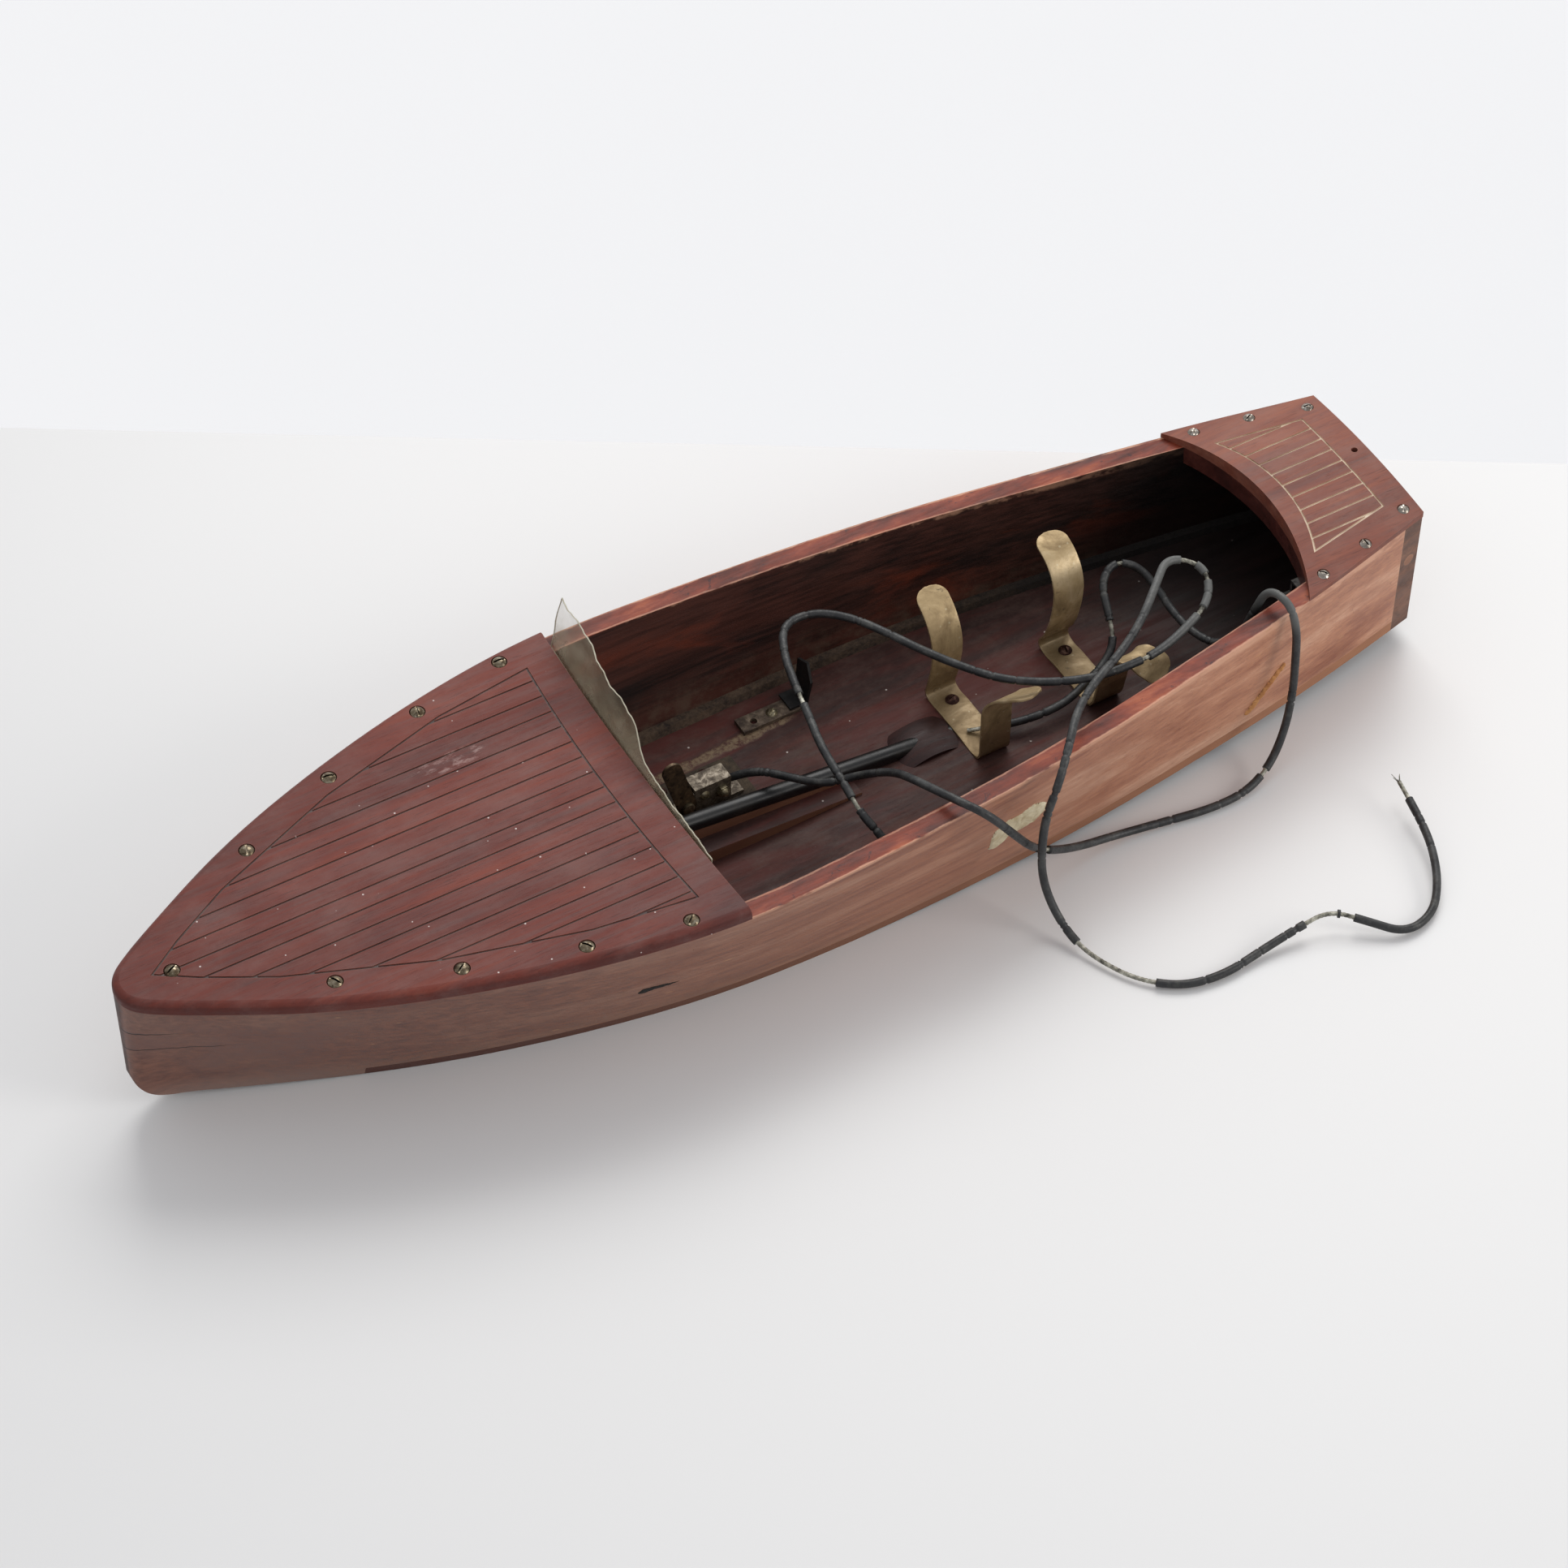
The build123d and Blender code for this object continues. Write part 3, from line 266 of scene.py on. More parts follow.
# ---------------------------------------------------------------- the two loose leads
LEAD_D = 2.9 * MM
LEAD_STEP = 0.45 * MM     # distance between the rings of a lead's mesh
LEAD_SIDES = 22
WIRE_SHARE = 0.52         # the bare wire's radius as a share of the covering's
STRAND_R = 0.16 * MM
STRAND_SIDES = 6
CLIP_WIDTH, CLIP_THICK = 12.0, 0.8
SWITCH_LEAD = [
    (8.8, -13.3, 19), (2.4, -8.4, 24.3), (-4.3, 4.2, 28.6), (-12, 15, 31), (-22.5, 21, 36),
    (-28.5, 32, 45), (-28, 48, 55.5), (-30.5, 62.5, 61), (-38, 76, 60.5), (-49, 76.5, 44),
    (-58, 73, 29.5), (-69, 69.5, 18), (-82, 66.5, 9.5), (-98, 64.5, 4), (-117, 66.5, 2.2),
    (-134, 69.5, 2), (-149, 69.5, 2.3), (-161, 65.5, 5), (-170, 60.5, 13.5), (-175, 56.5, 27),
    (-176.5, 54, 41), (-176.5, 53, 54), (-175.5, 49, 64.2), (-173.5, 38.6, 63.4), (-170.3, 36, 51),
    (-167, 34.4, 39), (-163.5, 27.5, 29.8), (-160.8, 15.8, 26.9), (-159.8, 3.8, 27.4),
    (-159.3, -5.2, 31.4), (-156.3, -13.7, 36.9), (-148.3, -17.7, 39.4), (-140.8, -13.7, 36.4),
    (-138.3, -4.2, 30.4), (-135.8, 3.8, 24.4), (-128.8, 8.3, 21.4), (-119.3, 11.8, 20.4),
    (-108.3, 15.3, 18.9), (-94.8, 13.8, 16.9), (-83.3, 9.8, 15.7), (-75.3, 4.8, 13.3),
]
BATTERY_LEAD = [
    (-17.5, 54, 28.5), (-14.5, 47, 35.2), (-11.5, 38.5, 40), (-12, 26.5, 43.4), (-12.5, 11, 46),
    (-15.7, -3, 47.3), (-18.5, -17, 48), (-22, -30, 48.5), (-28.5, -42.5, 48.5), (-41, -42.8, 48),
    (-51, -35, 47.2), (-58, -24, 46.5), (-63.8, -9.6, 47.5), (-70.6, 6.8, 50.2),
    (-77.8, 21.7, 53.5), (-90.3, 31.7, 54.7), (-103.1, 37, 54.8), (-115.9, 39.4, 55.7),
    (-128.9, 38.9, 55.5), (-142.2, 34.9, 55.8), (-156.6, 29.1, 57.8), (-162.5, 17, 61),
    (-151.5, 9, 64), (-140.5, 19, 64.8), (-127.7, 30, 64.1), (-113.6, 38.3, 62.5),
    (-99.6, 44.6, 62.8), (-85.5, 55, 65), (-75.5, 66, 64.5), (-66.5, 74.5, 59), (-60.5, 76.5, 47),
    (-58.5, 78, 34), (-58, 80, 21), (-59.5, 85.5, 9.5), (-61, 96, 3.5), (-64, 107, 2.2),
    (-71, 121, 2), (-83, 131, 2), (-98, 133.5, 2), (-113, 131.5, 2.6), (-128, 131, 5),
    (-140.5, 131.5, 7.5), (-150, 140, 5), (-160, 149.5, 2.3), (-173, 147, 2), (-182, 137, 3.5),
    (-188.5, 124, 5), (-192, 110, 6.5), (-194, 96, 8),
]


def smooth_line(name, points):
    """Points along one NURBS curve through the route's control points, in metres."""
    curve = bpy.data.curves.new(name + "_route", "CURVE")
    curve.dimensions = "3D"
    curve.resolution_u = 24
    spline = curve.splines.new("NURBS")
    spline.points.add(len(points) - 1)
    for p, (x, y, z) in zip(spline.points, points):
        p.co = (x * MM, y * MM, z * MM, 1.0)
    spline.order_u = 3
    spline.use_endpoint_u = True
    obj = bpy.data.objects.new(name + "_route", curve)
    bpy.context.scene.collection.objects.link(obj)
    bpy.context.view_layer.update()
    mesh = bpy.data.meshes.new_from_object(obj)
    line = [v.co.copy() for v in mesh.vertices]
    bpy.data.objects.remove(obj)
    bpy.data.curves.remove(curve)
    bpy.data.meshes.remove(mesh)
    return line


def even(line, step):
    """The same line with a point every step."""
    out, left = [line[0].copy()], step
    for a, b in zip(line, line[1:]):
        d = (b - a).length
        at = left
        while at <= d and d > 0:
            out.append(a.lerp(b, at / d))
            at += step
        left = at - d
    if (out[-1] - line[-1]).length > step * 0.3:
        out.append(line[-1].copy())
    return out


def turning_frames(line):
    """Tangent and two square directions at every point, carried along without twist."""
    tangents = []
    for i in range(len(line)):
        a, b = line[max(i - 1, 0)], line[min(i + 1, len(line) - 1)]
        tangents.append((b - a).normalized())
    u = tangents[0].orthogonal().normalized()
    frames = []
    for t in tangents:
        u = (u - t * u.dot(t)).normalized()
        frames.append((t, u, t.cross(u)))
    return frames


def nearest_index(line, spot):
    """Index of the point of the line nearest to a spot given in millimetres."""
    s = Vector(spot) * MM
    return min(range(len(line)), key=lambda i: (line[i] - s).length)


def make_lead(name, points, bare, cracks, seed, rubber, strands):
    """Perished rubber covering on stranded wire.  bare holds (spot, length in mm): broken covering that
    shows the strands; cracks is how many rings the covering has cracked into."""
    rng = random.Random(seed)
    line = even(smooth_line(name, points), LEAD_STEP)
    frames = turning_frames(line)
    count = len(line)
    radius = [LEAD_D / 2] * count
    is_bare = [False] * count
    for i in range(count):
        radius[i] *= 1 + 0.03 * noise.noise(Vector((i * LEAD_STEP * 60, seed, 5)))
    for spot, size in bare:
        c = nearest_index(line, spot)
        h = size * MM / LEAD_STEP / 2
        for i in range(max(0, int(c - h)), min(count, int(c + h) + 1)):
            is_bare[i] = True
    for _ in range(cracks):
        c = rng.randrange(4, count - 4)
        deep = rng.uniform(0.72, 0.9)
        for k in (0, 1) if rng.random() < 0.5 else (0,):
            if not is_bare[c + k]:
                radius[c + k] *= deep
    sides = LEAD_SIDES
    verts, faces, wire_faces = [], [], []
    ring = 0

    def add_ring(i, r, twisted):
        nonlocal ring
        _, u, v = frames[i]
        for k in range(sides):
            a = 2 * math.pi * k / sides
            rr = r
            if twisted:
                rr = r * (0.80 + 0.26 * abs(math.cos(2.5 * (a - i * LEAD_STEP * 900))))
            else:
                dent = noise.noise(Vector((math.cos(a), math.sin(a), i * LEAD_STEP * 120 + seed)))
                rr = r * (1 + 0.02 * dent)
            verts.append(line[i] + u * (math.cos(a) * rr) + v * (math.sin(a) * rr))
        ring += 1

    def join(r0, r1, wire):
        for k in range(sides):
            a, b = r0 * sides + k, r0 * sides + (k + 1) % sides
            c, d = r1 * sides + (k + 1) % sides, r1 * sides + k
            (wire_faces if wire else faces).append((a, b, c, d))

    wire_r = LEAD_D / 2 * WIRE_SHARE
    add_ring(0, radius[0], is_bare[0])
    for i in range(1, count):
        if is_bare[i] != is_bare[i - 1]:
            # the covering ends in a square broken lip
            if is_bare[i]:
                add_ring(i - 1, radius[i - 1] * WIRE_SHARE, True)
                join(ring - 2, ring - 1, False)
            else:
                add_ring(i, wire_r, True)
                join(ring - 2, ring - 1, True)
                add_ring(i, radius[i], False)
                join(ring - 2, ring - 1, False)
                continue
        add_ring(i, wire_r if is_bare[i] else radius[i], is_bare[i])
        join(ring - 2, ring - 1, is_bare[i])
    first = list(range(sides))[::-1]
    last = [(ring - 1) * sides + k for k in range(sides)]
    faces += [tuple(first), tuple(last)]
    obj = new_mesh(name, verts, faces + wire_faces, [rubber, strands])
    for p in obj.data.polygons[len(faces):]:
        p.material_index = 1
    return obj, line, frames


def rubber_look():
    g = Graph("perished_rubber")
    mottle = g.even_noise(90, 6, 0.6)
    fine = g.even_noise(1400, 3, 0.6)
    dust = g.span(g.even_noise(260, 5, 0.7), 0.45, 0.75)
    _, _, up = g.split(g.normal)
    dust = g.times(dust, g.span(up, -0.3, 0.9, 0.15, 0.75))
    base = g.ramp(mottle, [(0.35, lin(24, 25, 26)), (0.55, lin(40, 41, 42)), (0.72, lin(62, 63, 62))])
    base = g.mix(g.times(dust, 0.6), base, lin(104, 103, 98))
    x, _, z = g.split(g.place)
    faded = g.times(g.span(x, -0.120, -0.150), g.span(z, 0.050, 0.060))
    base = g.mix(g.times(faded, 0.55), base, lin(112, 113, 110))
    normal = g.bump(fine, 0.35, 0.0001)
    return g.set(color=base, rough=g.span(fine, 0.3, 0.7, 0.36, 0.6), normal=normal)


def strand_look():
    g = Graph("bare_strands")
    mottle = g.even_noise(400, 4, 0.6)
    base = g.ramp(mottle, [(0.35, lin(70, 68, 60)), (0.55, lin(156, 154, 140)), (0.72, lin(214, 212, 198))])
    return g.set(color=base, rough=g.span(mottle, 0.3, 0.7, 0.35, 0.6), metal=0.35,
                 normal=g.bump(mottle, 0.3, 0.0001))


RUBBER, STRANDS = rubber_look(), strand_look()
SWITCH_BARE = [
    ((-60, 72, 27), 1.2), ((-64.5, 71, 22), 5), ((-158, 66.5, 4.5), 2.4), ((-77, 6, 14), 16),
    ((-136.5, 0, 27), 5), ((-150, -17, 39), 1.0),
]
BATTERY_BARE = [
    ((-17, -10, 47.6), 4), ((-12, 35, 41), 4), ((-162, 21, 60), 2), ((-158, 12, 62), 5),
    ((-151, 31, 57), 3), ((-124, 39, 55.7), 2), ((-62, 102, 2.8), 5), ((-66, 113, 2.1), 30),
    ((-137, 131, 6.6), 11), ((-145, 136, 6), 4), ((-193.6, 99, 7.6), 9),
]
switch_lead, sw_line, _ = make_lead(
    "switch_lead_wire", SWITCH_LEAD, SWITCH_BARE, 46, 3, RUBBER, STRANDS)
battery_lead, ba_line, ba_frames = make_lead(
    "battery_lead_wire", BATTERY_LEAD, BATTERY_BARE, 60, 8, RUBBER, STRANDS)
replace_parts(switch_lead, "switch_lead")
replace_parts(battery_lead, "battery_lead")


def loose_strand(name, start, direction, length, seed, bend=0.35):
    """One fine wire that springs out of a broken end."""
    rng = random.Random(seed)
    p, d = Vector(start), Vector(direction).normalized()
    side = Vector((rng.uniform(-1, 1), rng.uniform(-1, 1), rng.uniform(-0.2, 0.8)))
    path = [p.copy()]
    count = 10
    for _ in range(count):
        d = (d + side * bend / count).normalized()
        p = p + d * (length / count)
        path.append(p.copy())
    frames = turning_frames(path)
    verts, faces = [], []
    sides = STRAND_SIDES
    for i, (_, u, v) in enumerate(frames):
        r = STRAND_R * (1 - 0.3 * i / count)
        for k in range(sides):
            a = 2 * math.pi * k / sides
            verts.append(path[i] + (u * math.cos(a) + v * math.sin(a)) * r)
    for i in range(len(path) - 1):
        for k in range(sides):
            faces.append((i * sides + k, i * sides + (k + 1) % sides,
                          (i + 1) * sides + (k + 1) % sides, (i + 1) * sides + k))
    faces.append(tuple(range(sides))[::-1])
    faces.append(tuple((len(path) - 1) * sides + k for k in range(sides)))
    return new_mesh(name, verts, faces, STRANDS)


end, (end_t, end_u, end_v) = ba_line[-1], ba_frames[-1]
for k in range(5):
    a = 2 * math.pi * k / 5
    out = end_t + (end_u * math.cos(a) + end_v * math.sin(a)) * 0.35
    loose_strand(f"fray_{k}", end - end_t * 1.0 * MM, out, (3.0 + 0.8 * (k % 3)) * MM, 40 + k)


# ---------------------------------------------------------------- woods
def half_breadth(g, x):
    """The deck's half-breadth at the sheer as a curve of x, in metres."""
    rows = [(-242, 33.5), (-190, 45.4), (-142, 54), (-94, 62), (-46, 67.6), (2, 71), (50, 72), (98, 65.8),
            (146, 53.2), (194, 34.2), (218, 21.2), (234, 11.6), (242, 0)]
    points = [((x0 + 242) / 484, b / 100) for x0, b in rows]
    return g.times(g.curve(x, -HALF_LONG, HALF_LONG, points), 0.1)


def specks(g, scale, share, size):
    """Small round dust specks, 1 where there is one."""
    near = g.cells(g.stretch(1, 1, 1), scale)
    pick = g.noise(g.stretch(1, 1, 1), scale * 0.8, 0, 0.5)
    return g.times(g.span(near, size, size * 0.5), g.span(pick, 1 - share - 0.02, 1 - share))


def foredeck_extra(g):
    x, y, z = g.split(g.place)
    ay = g.math("ABSOLUTE", y)
    top = g.plus(0.0604, g.times(g.minus(x, 0.049), 0.00777))
    deep = g.minus(top, z)
    rim = g.minus(half_breadth(g, x), ay)
    level = g.span(g.split(g.normal)[2], 0.6, 0.9)
    blotch = g.noise(g.stretch(22, 30, 30), 1.0, 5, 0.65, 0.8)
    g.tint(g.span(blotch, 0.42, 0.68, 0.0, 0.55), lin(108, 46, 34))
    broad = g.noise(g.stretch(9, 14, 14, (3, 0, 0)), 1.0, 4, 0.6, 0.5)
    g.tint(g.span(broad, 0.5, 0.75, 0.0, 0.5), lin(70, 42, 42))
    # plank lines hold grey dirt
    inside = g.span(rim, 0.0066, 0.0074)
    inside = g.times(inside, g.span(deep, 0.0012, 0.0007))
    groove = g.times(g.times(g.span(deep, 0.00012, 0.0002), inside), level)
    dirt = g.ramp(g.noise(g.stretch(60, 300, 300), 1.0, 4, 0.6),
                  [(0.35, lin(58, 42, 43)), (0.7, lin(104, 90, 85))])
    g.tint(groove, dirt)
    # painted shade: darker red band along the rounded edge, where the deck turns down
    shaded_edge_band = g.times(g.span(deep, 0.0007, 0.0016), g.span(rim, 0.006, 0.003))
    g.tint(g.times(shaded_edge_band, 0.55), lin(66, 22, 18))
    # pale scuff and dust
    sx = g.math("DIVIDE", g.minus(x, 0.1035), 0.016)
    sy = g.math("DIVIDE", g.minus(y, -0.034), 0.0045)
    spot = g.plus(g.times(sx, sx), g.times(sy, sy))
    grit = g.noise(g.stretch(170, 420, 300), 1.0, 5, 0.7)
    scuff = g.times(g.span(spot, 1.0, 0.5), g.span(grit, 0.5, 0.66))
    g.tint(g.times(scuff, 0.55), lin(176, 146, 140))
    g.tint(g.times(specks(g, 170, 0.56, 0.07), 0.9), lin(224, 212, 206))
    film = g.span(g.noise(g.stretch(40, 60, 60), 1.0, 6, 0.7), 0.4, 0.75, 0.0, 0.22)
    g.tint(film, lin(150, 128, 122))
    edge = g.worn_edge(0.0006)
    g.tint(g.times(edge, 0.35), lin(150, 100, 84))
    g.rough = g.plus(g.rough, g.times(film, 0.4))


def aft_deck_extra(g):
    x, y, z = g.split(g.place)
    top = g.minus(0.0634, g.times(g.times(y, y), 1.85))
    deep = g.minus(top, z)
    ay = g.math("ABSOLUTE", y)
    front = g.minus(g.times(g.times(y, y), 7.6), 0.2042)
    inner = g.times(g.span(ay, 0.0335, 0.0325),
                    g.times(g.span(x, -0.2336, -0.2328), g.math("LESS_THAN", x, front)))
    inner = g.times(inner, g.span(deep, 0.0012, 0.0007))
    groove = g.times(g.span(deep, 0.00005, 0.00012), inner)
    chalk = g.noise(g.stretch(80, 300, 300), 1.0, 4, 0.6)
    g.tint(groove, g.ramp(chalk, [(0.35, lin(186, 160, 134)), (0.7, lin(236, 218, 194))]))
    film = g.span(g.noise(g.stretch(40, 60, 60), 1.0, 6, 0.7), 0.4, 0.75, 0.0, 0.2)
    g.tint(film, lin(158, 132, 120))
    g.tint(g.times(g.worn_edge(0.0005), 0.3), lin(160, 110, 90))


def side_extra(g):
    x, y, z = g.split(g.place)
    _, ny, nz = g.split(g.normal)
    outer = g.span(g.times(ny, g.math("SIGN", y)), 0.1, 0.4)
    top = g.span(nz, 0.6, 0.9)
    inner = g.minus(g.minus(1.0, outer, True), top, True)
    # orange-brown aft, darker purple-brown forward and in patches
    along = g.span(x, -0.18, 0.17)
    patch = g.noise(g.stretch(9, 26, 26, (4, 1, 0)), 1.0, 5, 0.6, 0.7)
    bow_tone = g.mix(g.span(g.streak, 0.3, 0.7), lin(70, 39, 35), lin(112, 70, 58))
    g.tint(g.times(along, 0.8), bow_tone)
    g.tint(g.span(patch, 0.5, 0.72, 0.0, 0.42), lin(112, 58, 40))
    low = g.span(z, 0.016, 0.0)
    g.tint(g.times(low, 0.25), lin(150, 118, 92))
    # gunwale: redder varnish with chips
    chips = g.noise(g.stretch(190, 260, 260), 1.0, 5, 0.7, 0.5)
    red = g.ramp(g.noise(g.stretch(40, 120, 120), 1.0, 5, 0.6),
                 [(0.35, lin(72, 26, 17)), (0.55, lin(130, 54, 33)), (0.72, lin(172, 90, 56))])
    g.tint(top, red)
    g.tint(g.times(g.span(chips, 0.6, 0.66), g.times(top, 0.7)), lin(52, 24, 28))
    # inside: dark, dusty
    inside = g.mix(g.span(g.tone, 0.35, 0.65), lin(26, 15, 13), lin(74, 38, 29))
    stain = g.noise(g.stretch(14, 70, 50, (2, 5, 0)), 1.0, 5, 0.65, 0.6)
    inside = g.mix(g.span(stain, 0.52, 0.7, 0.0, 0.75), inside, lin(104, 44, 26))
    g.tint(inner, inside)
    grit = g.noise(g.stretch(140, 180, 180), 1.0, 5, 0.7)
    dusty = g.times(g.times(inner, g.span(z, 0.030, 0.012)), g.span(grit, 0.4, 0.7))
    g.tint(g.times(dusty, 0.5), lin(98, 84, 70))
    # pale worn edges along the gunwale, partly a painted highlight on the outer and inner edge lines
    rim = g.minus(half_breadth(g, x), g.math("ABSOLUTE", y))
    rub = g.plus(rim, g.times(g.minus(g.noise(g.stretch(140, 300, 300), 1.0, 5, 0.7), 0.5), 0.0016))
    lip = g.times(g.span(rub, 0.0011, 0.0005), g.span(z, 0.0535, 0.0550))
    inner_lip = g.times(g.span(g.math("ABSOLUTE", g.minus(rub, 0.0072)), 0.0005, 0.0002),
                        g.span(z, 0.0535, 0.0550))
    broken = g.span(g.noise(g.stretch(34, 90, 90, (3, 0, 0)), 1.0, 4, 0.7), 0.36, 0.5)
    wear_and_highlight = g.times(g.math("MAXIMUM", lip, g.times(inner_lip, 0.6)), broken)
    wear_and_highlight = g.times(wear_and_highlight, g.span(x, 0.0520, 0.0500))
    # pale edge lines: real wear plus a painted highlight
    g.tint(g.times(wear_and_highlight, 0.7), lin(214, 162, 132))
    # small nicks
    nick = g.times(g.span(g.cells(g.stretch(30, 120, 120), 1.0), 0.07, 0.03), outer)
    g.tint(g.times(nick, 0.5), lin(190, 140, 96))
    # painted shade: the inside of the planking darkens to near black aft
    aft_painted_shade = g.times(inner, g.span(x, SHADE_FROM, SHADE_TO))
    g.tint(g.times(aft_painted_shade, 0.85), SHADE)
    # the solid bow is paler and dirtier low down, with fine cracks running back from the stem
    g.tint(g.times(g.span(x, 0.12, 0.22), g.span(patch, 0.45, 0.7, 0.15, 0.65)), lin(112, 86, 80))
    g.tint(g.times(g.span(x, 0.15, 0.21), g.span(z, 0.016, 0.0, 0.0, 0.4)), lin(156, 134, 126))
    sway = g.minus(g.noise(g.stretch(90, 60, 60), 1.0, 3, 0.5), 0.5)
    zz = g.plus(z, g.times(sway, 0.004))
    crack = g.span(g.math("ABSOLUTE", g.minus(zz, 0.0438)), 0.00035, 0.00012)
    crack = g.times(crack, g.span(x, 0.222, 0.236))
    crack2 = g.span(g.math("ABSOLUTE", g.minus(zz, 0.0345)), 0.0003, 0.0001)
    crack2 = g.times(crack2, g.span(x, 0.205, 0.222))
    both = g.math("MAXIMUM", crack, crack2)
    g.tint(g.times(both, 0.85), lin(26, 16, 15))
    g.normal_out = g.bump(g.minus(1.0, both), 0.8, 0.0004, g.normal_out)
    g.rough = g.plus(g.rough, g.times(g.plus(inner, top), 0.16))


def floor_extra(g):
    x, y, _ = g.split(g.place)
    _, _, nz = g.split(g.normal)
    up = g.span(nz, 0.5, 0.9)
    red = g.noise(g.stretch(10, 60, 60, (1, 2, 0)), 1.0, 6, 0.65, 0.5)
    g.tint(g.times(up, g.span(red, 0.45, 0.65, 0.0, 0.7)), lin(94, 42, 36))
    dust = g.noise(g.stretch(60, 90, 90), 1.0, 7, 0.75)
    g.tint(g.times(up, g.span(dust, 0.42, 0.72, 0.0, 0.5)), lin(96, 76, 68))
    # dusty streak left by an old strip of glue, starboard of the shaft
    off = g.math("ABSOLUTE", g.minus(y, g.plus(-0.0335, g.times(x, 0.05))))
    wob = g.times(g.minus(g.noise(g.stretch(120, 20, 20), 1.0, 4, 0.6), 0.5), 0.004)
    line = g.times(g.span(g.plus(off, wob), 0.0028, 0.0016), g.span(x, 0.034, 0.028))
    line = g.times(line, g.span(x, -0.03, -0.024))
    crumbs = g.even_noise(420, 5, 0.75)
    g.tint(g.times(g.times(line, up), g.span(crumbs, 0.35, 0.6)), lin(128, 108, 84))
    g.tint(g.times(g.times(specks(g, 120, 0.5, 0.06), up), 0.8), lin(210, 200, 192))
    g.normal_out = g.bump(g.times(line, crumbs), 0.6, 0.0006, g.normal_out)
    # painted shade: the floor darkens to near black aft
    g.tint(g.times(g.span(x, SHADE_FROM, SHADE_TO), g.times(up, 0.85)), SHADE)
    # the edge that shows below the planks is varnished like them
    edge = g.mix(g.span(x, -0.18, 0.17), g.mix(g.streak, lin(136, 86, 60), lin(184, 134, 102)),
                 lin(84, 50, 42))
    g.tint(g.minus(1.0, g.span(g.math("ABSOLUTE", nz), 0.6, 0.85)), edge)


def end_grain_extra(g):
    ring = g.noise(g.stretch(200, 40, 260), 1.0, 5, 0.65, 0.4)
    g.tint(g.span(ring, 0.4, 0.66, 0.0, 0.6), lin(64, 44, 36))
    g.tint(g.times(g.worn_edge(0.0007), 0.35), lin(170, 140, 116))


FOREDECK = wood("foredeck_varnish", lin(76, 31, 25), lin(108, 47, 37), lin(134, 64, 48), 1.2, (0.46, 0.66),
                0.03, foredeck_extra)
AFT_DECK = wood("aft_deck_varnish", lin(90, 42, 32), lin(124, 66, 50), lin(154, 92, 70), 1.2, (0.46, 0.62),
                0.05, aft_deck_extra, (7, 1, 2))
SIDE = wood("side_varnish", lin(142, 84, 60), lin(188, 132, 102), lin(218, 174, 146), 1.5, (0.32, 0.48),
            0.08, side_extra, (2, 6, 1))
BOTTOM = wood("floor_wood", lin(40, 24, 21), lin(62, 36, 32), lin(88, 50, 42), 0.8, (0.55, 0.75), 0.0,
              floor_extra, (5, 2, 8))
TRANSOM = wood("transom_varnish", lin(84, 54, 42), lin(118, 80, 62), lin(146, 106, 84), 0.8, (0.45, 0.6),
               0.1, end_grain_extra, (3, 3, 1))
PLUG = wood("plug_wood", lin(116, 78, 60), lin(146, 104, 82), lin(170, 128, 104), 1.5, (0.5, 0.65), 0.0,
            None, (1, 9, 3))
BEAM = wood("beam_varnish", lin(44, 20, 17), lin(74, 34, 28), lin(104, 54, 44), 1.0, (0.42, 0.6), 0.1, None,
            (6, 4, 2))
paint("foredeck", FOREDECK)
paint("aft_deck", AFT_DECK)
paint("hull_side_port hull_side_starboard bow_block", SIDE)
paint("hull_bottom shaft_log motor_bed", BOTTOM)
paint("transom", TRANSOM)
paint("transom_plugs", PLUG)
paint("aft_deck_beam", BEAM)


# ---------------------------------------------------------------- metals and the rest
def metal(name, dark, mid, light, rough=(0.3, 0.55), shine=1.0, grain=260, spots=None, scratch=0.2,
          slot_shade=None):
    g = Graph(name)
    cloud = g.even_noise(grain, 6, 0.65, 0.4)
    fine = g.even_noise(grain * 7, 3, 0.6)
    base = g.ramp(cloud, [(0.36, dark), (0.52, mid), (0.68, light)])
    if spots:
        rust = g.span(g.even_noise(grain * 1.7, 5, 0.7, shift=(4, 2, 1)), 0.52, 0.66)
        base = g.mix(g.times(rust, 0.8), base, spots)
    # painted shade: darker down in screw slots and corners
    if slot_shade:
        base = g.mix(g.hollow(0.0012), base, slot_shade)
    normal = g.bump(g.plus(g.times(cloud, 0.6), g.times(fine, 0.4)), scratch, 0.00012)
    return g.set(color=base, rough=g.span(cloud, 0.35, 0.65, rough[1], rough[0]), metal=shine,
                 normal=normal)


# the last colour of each screw finish is the painted shade in its slot
SCREW = metal("aged_nickel", lin(74, 62, 48), lin(124, 112, 92), lin(178, 168, 148), (0.22, 0.46), 1.0, 420,
              lin(64, 50, 38), 0.2, lin(22, 17, 14))
BRIGHT_SCREW = metal("worn_nickel", lin(110, 102, 92), lin(160, 152, 142), lin(206, 202, 194), (0.18, 0.4),
                     1.0, 420, lin(80, 64, 52), 0.2, lin(24, 18, 16))
RUSTY = metal("rusty_steel", lin(40, 22, 18), lin(66, 38, 30), lin(118, 90, 74), (0.5, 0.8), 0.6, 500,
              lin(50, 22, 16), 0.5)
TUBE = metal("gloss_black", lin(10, 10, 11), lin(15, 15, 16), lin(23, 23, 24), (0.3, 0.42), 0.0, 60,
             lin(34, 31, 28), 0.02)
STEEL = metal("dull_steel", lin(84, 82, 78), lin(128, 126, 120), lin(160, 158, 152), (0.35, 0.55))
COUPLING = metal("coupling_brass", lin(120, 98, 58), lin(160, 134, 84), lin(188, 164, 112))
MOTOR = metal("motor_iron", lin(50, 48, 46), lin(84, 82, 78), lin(116, 112, 106), (0.4, 0.6), 0.8)
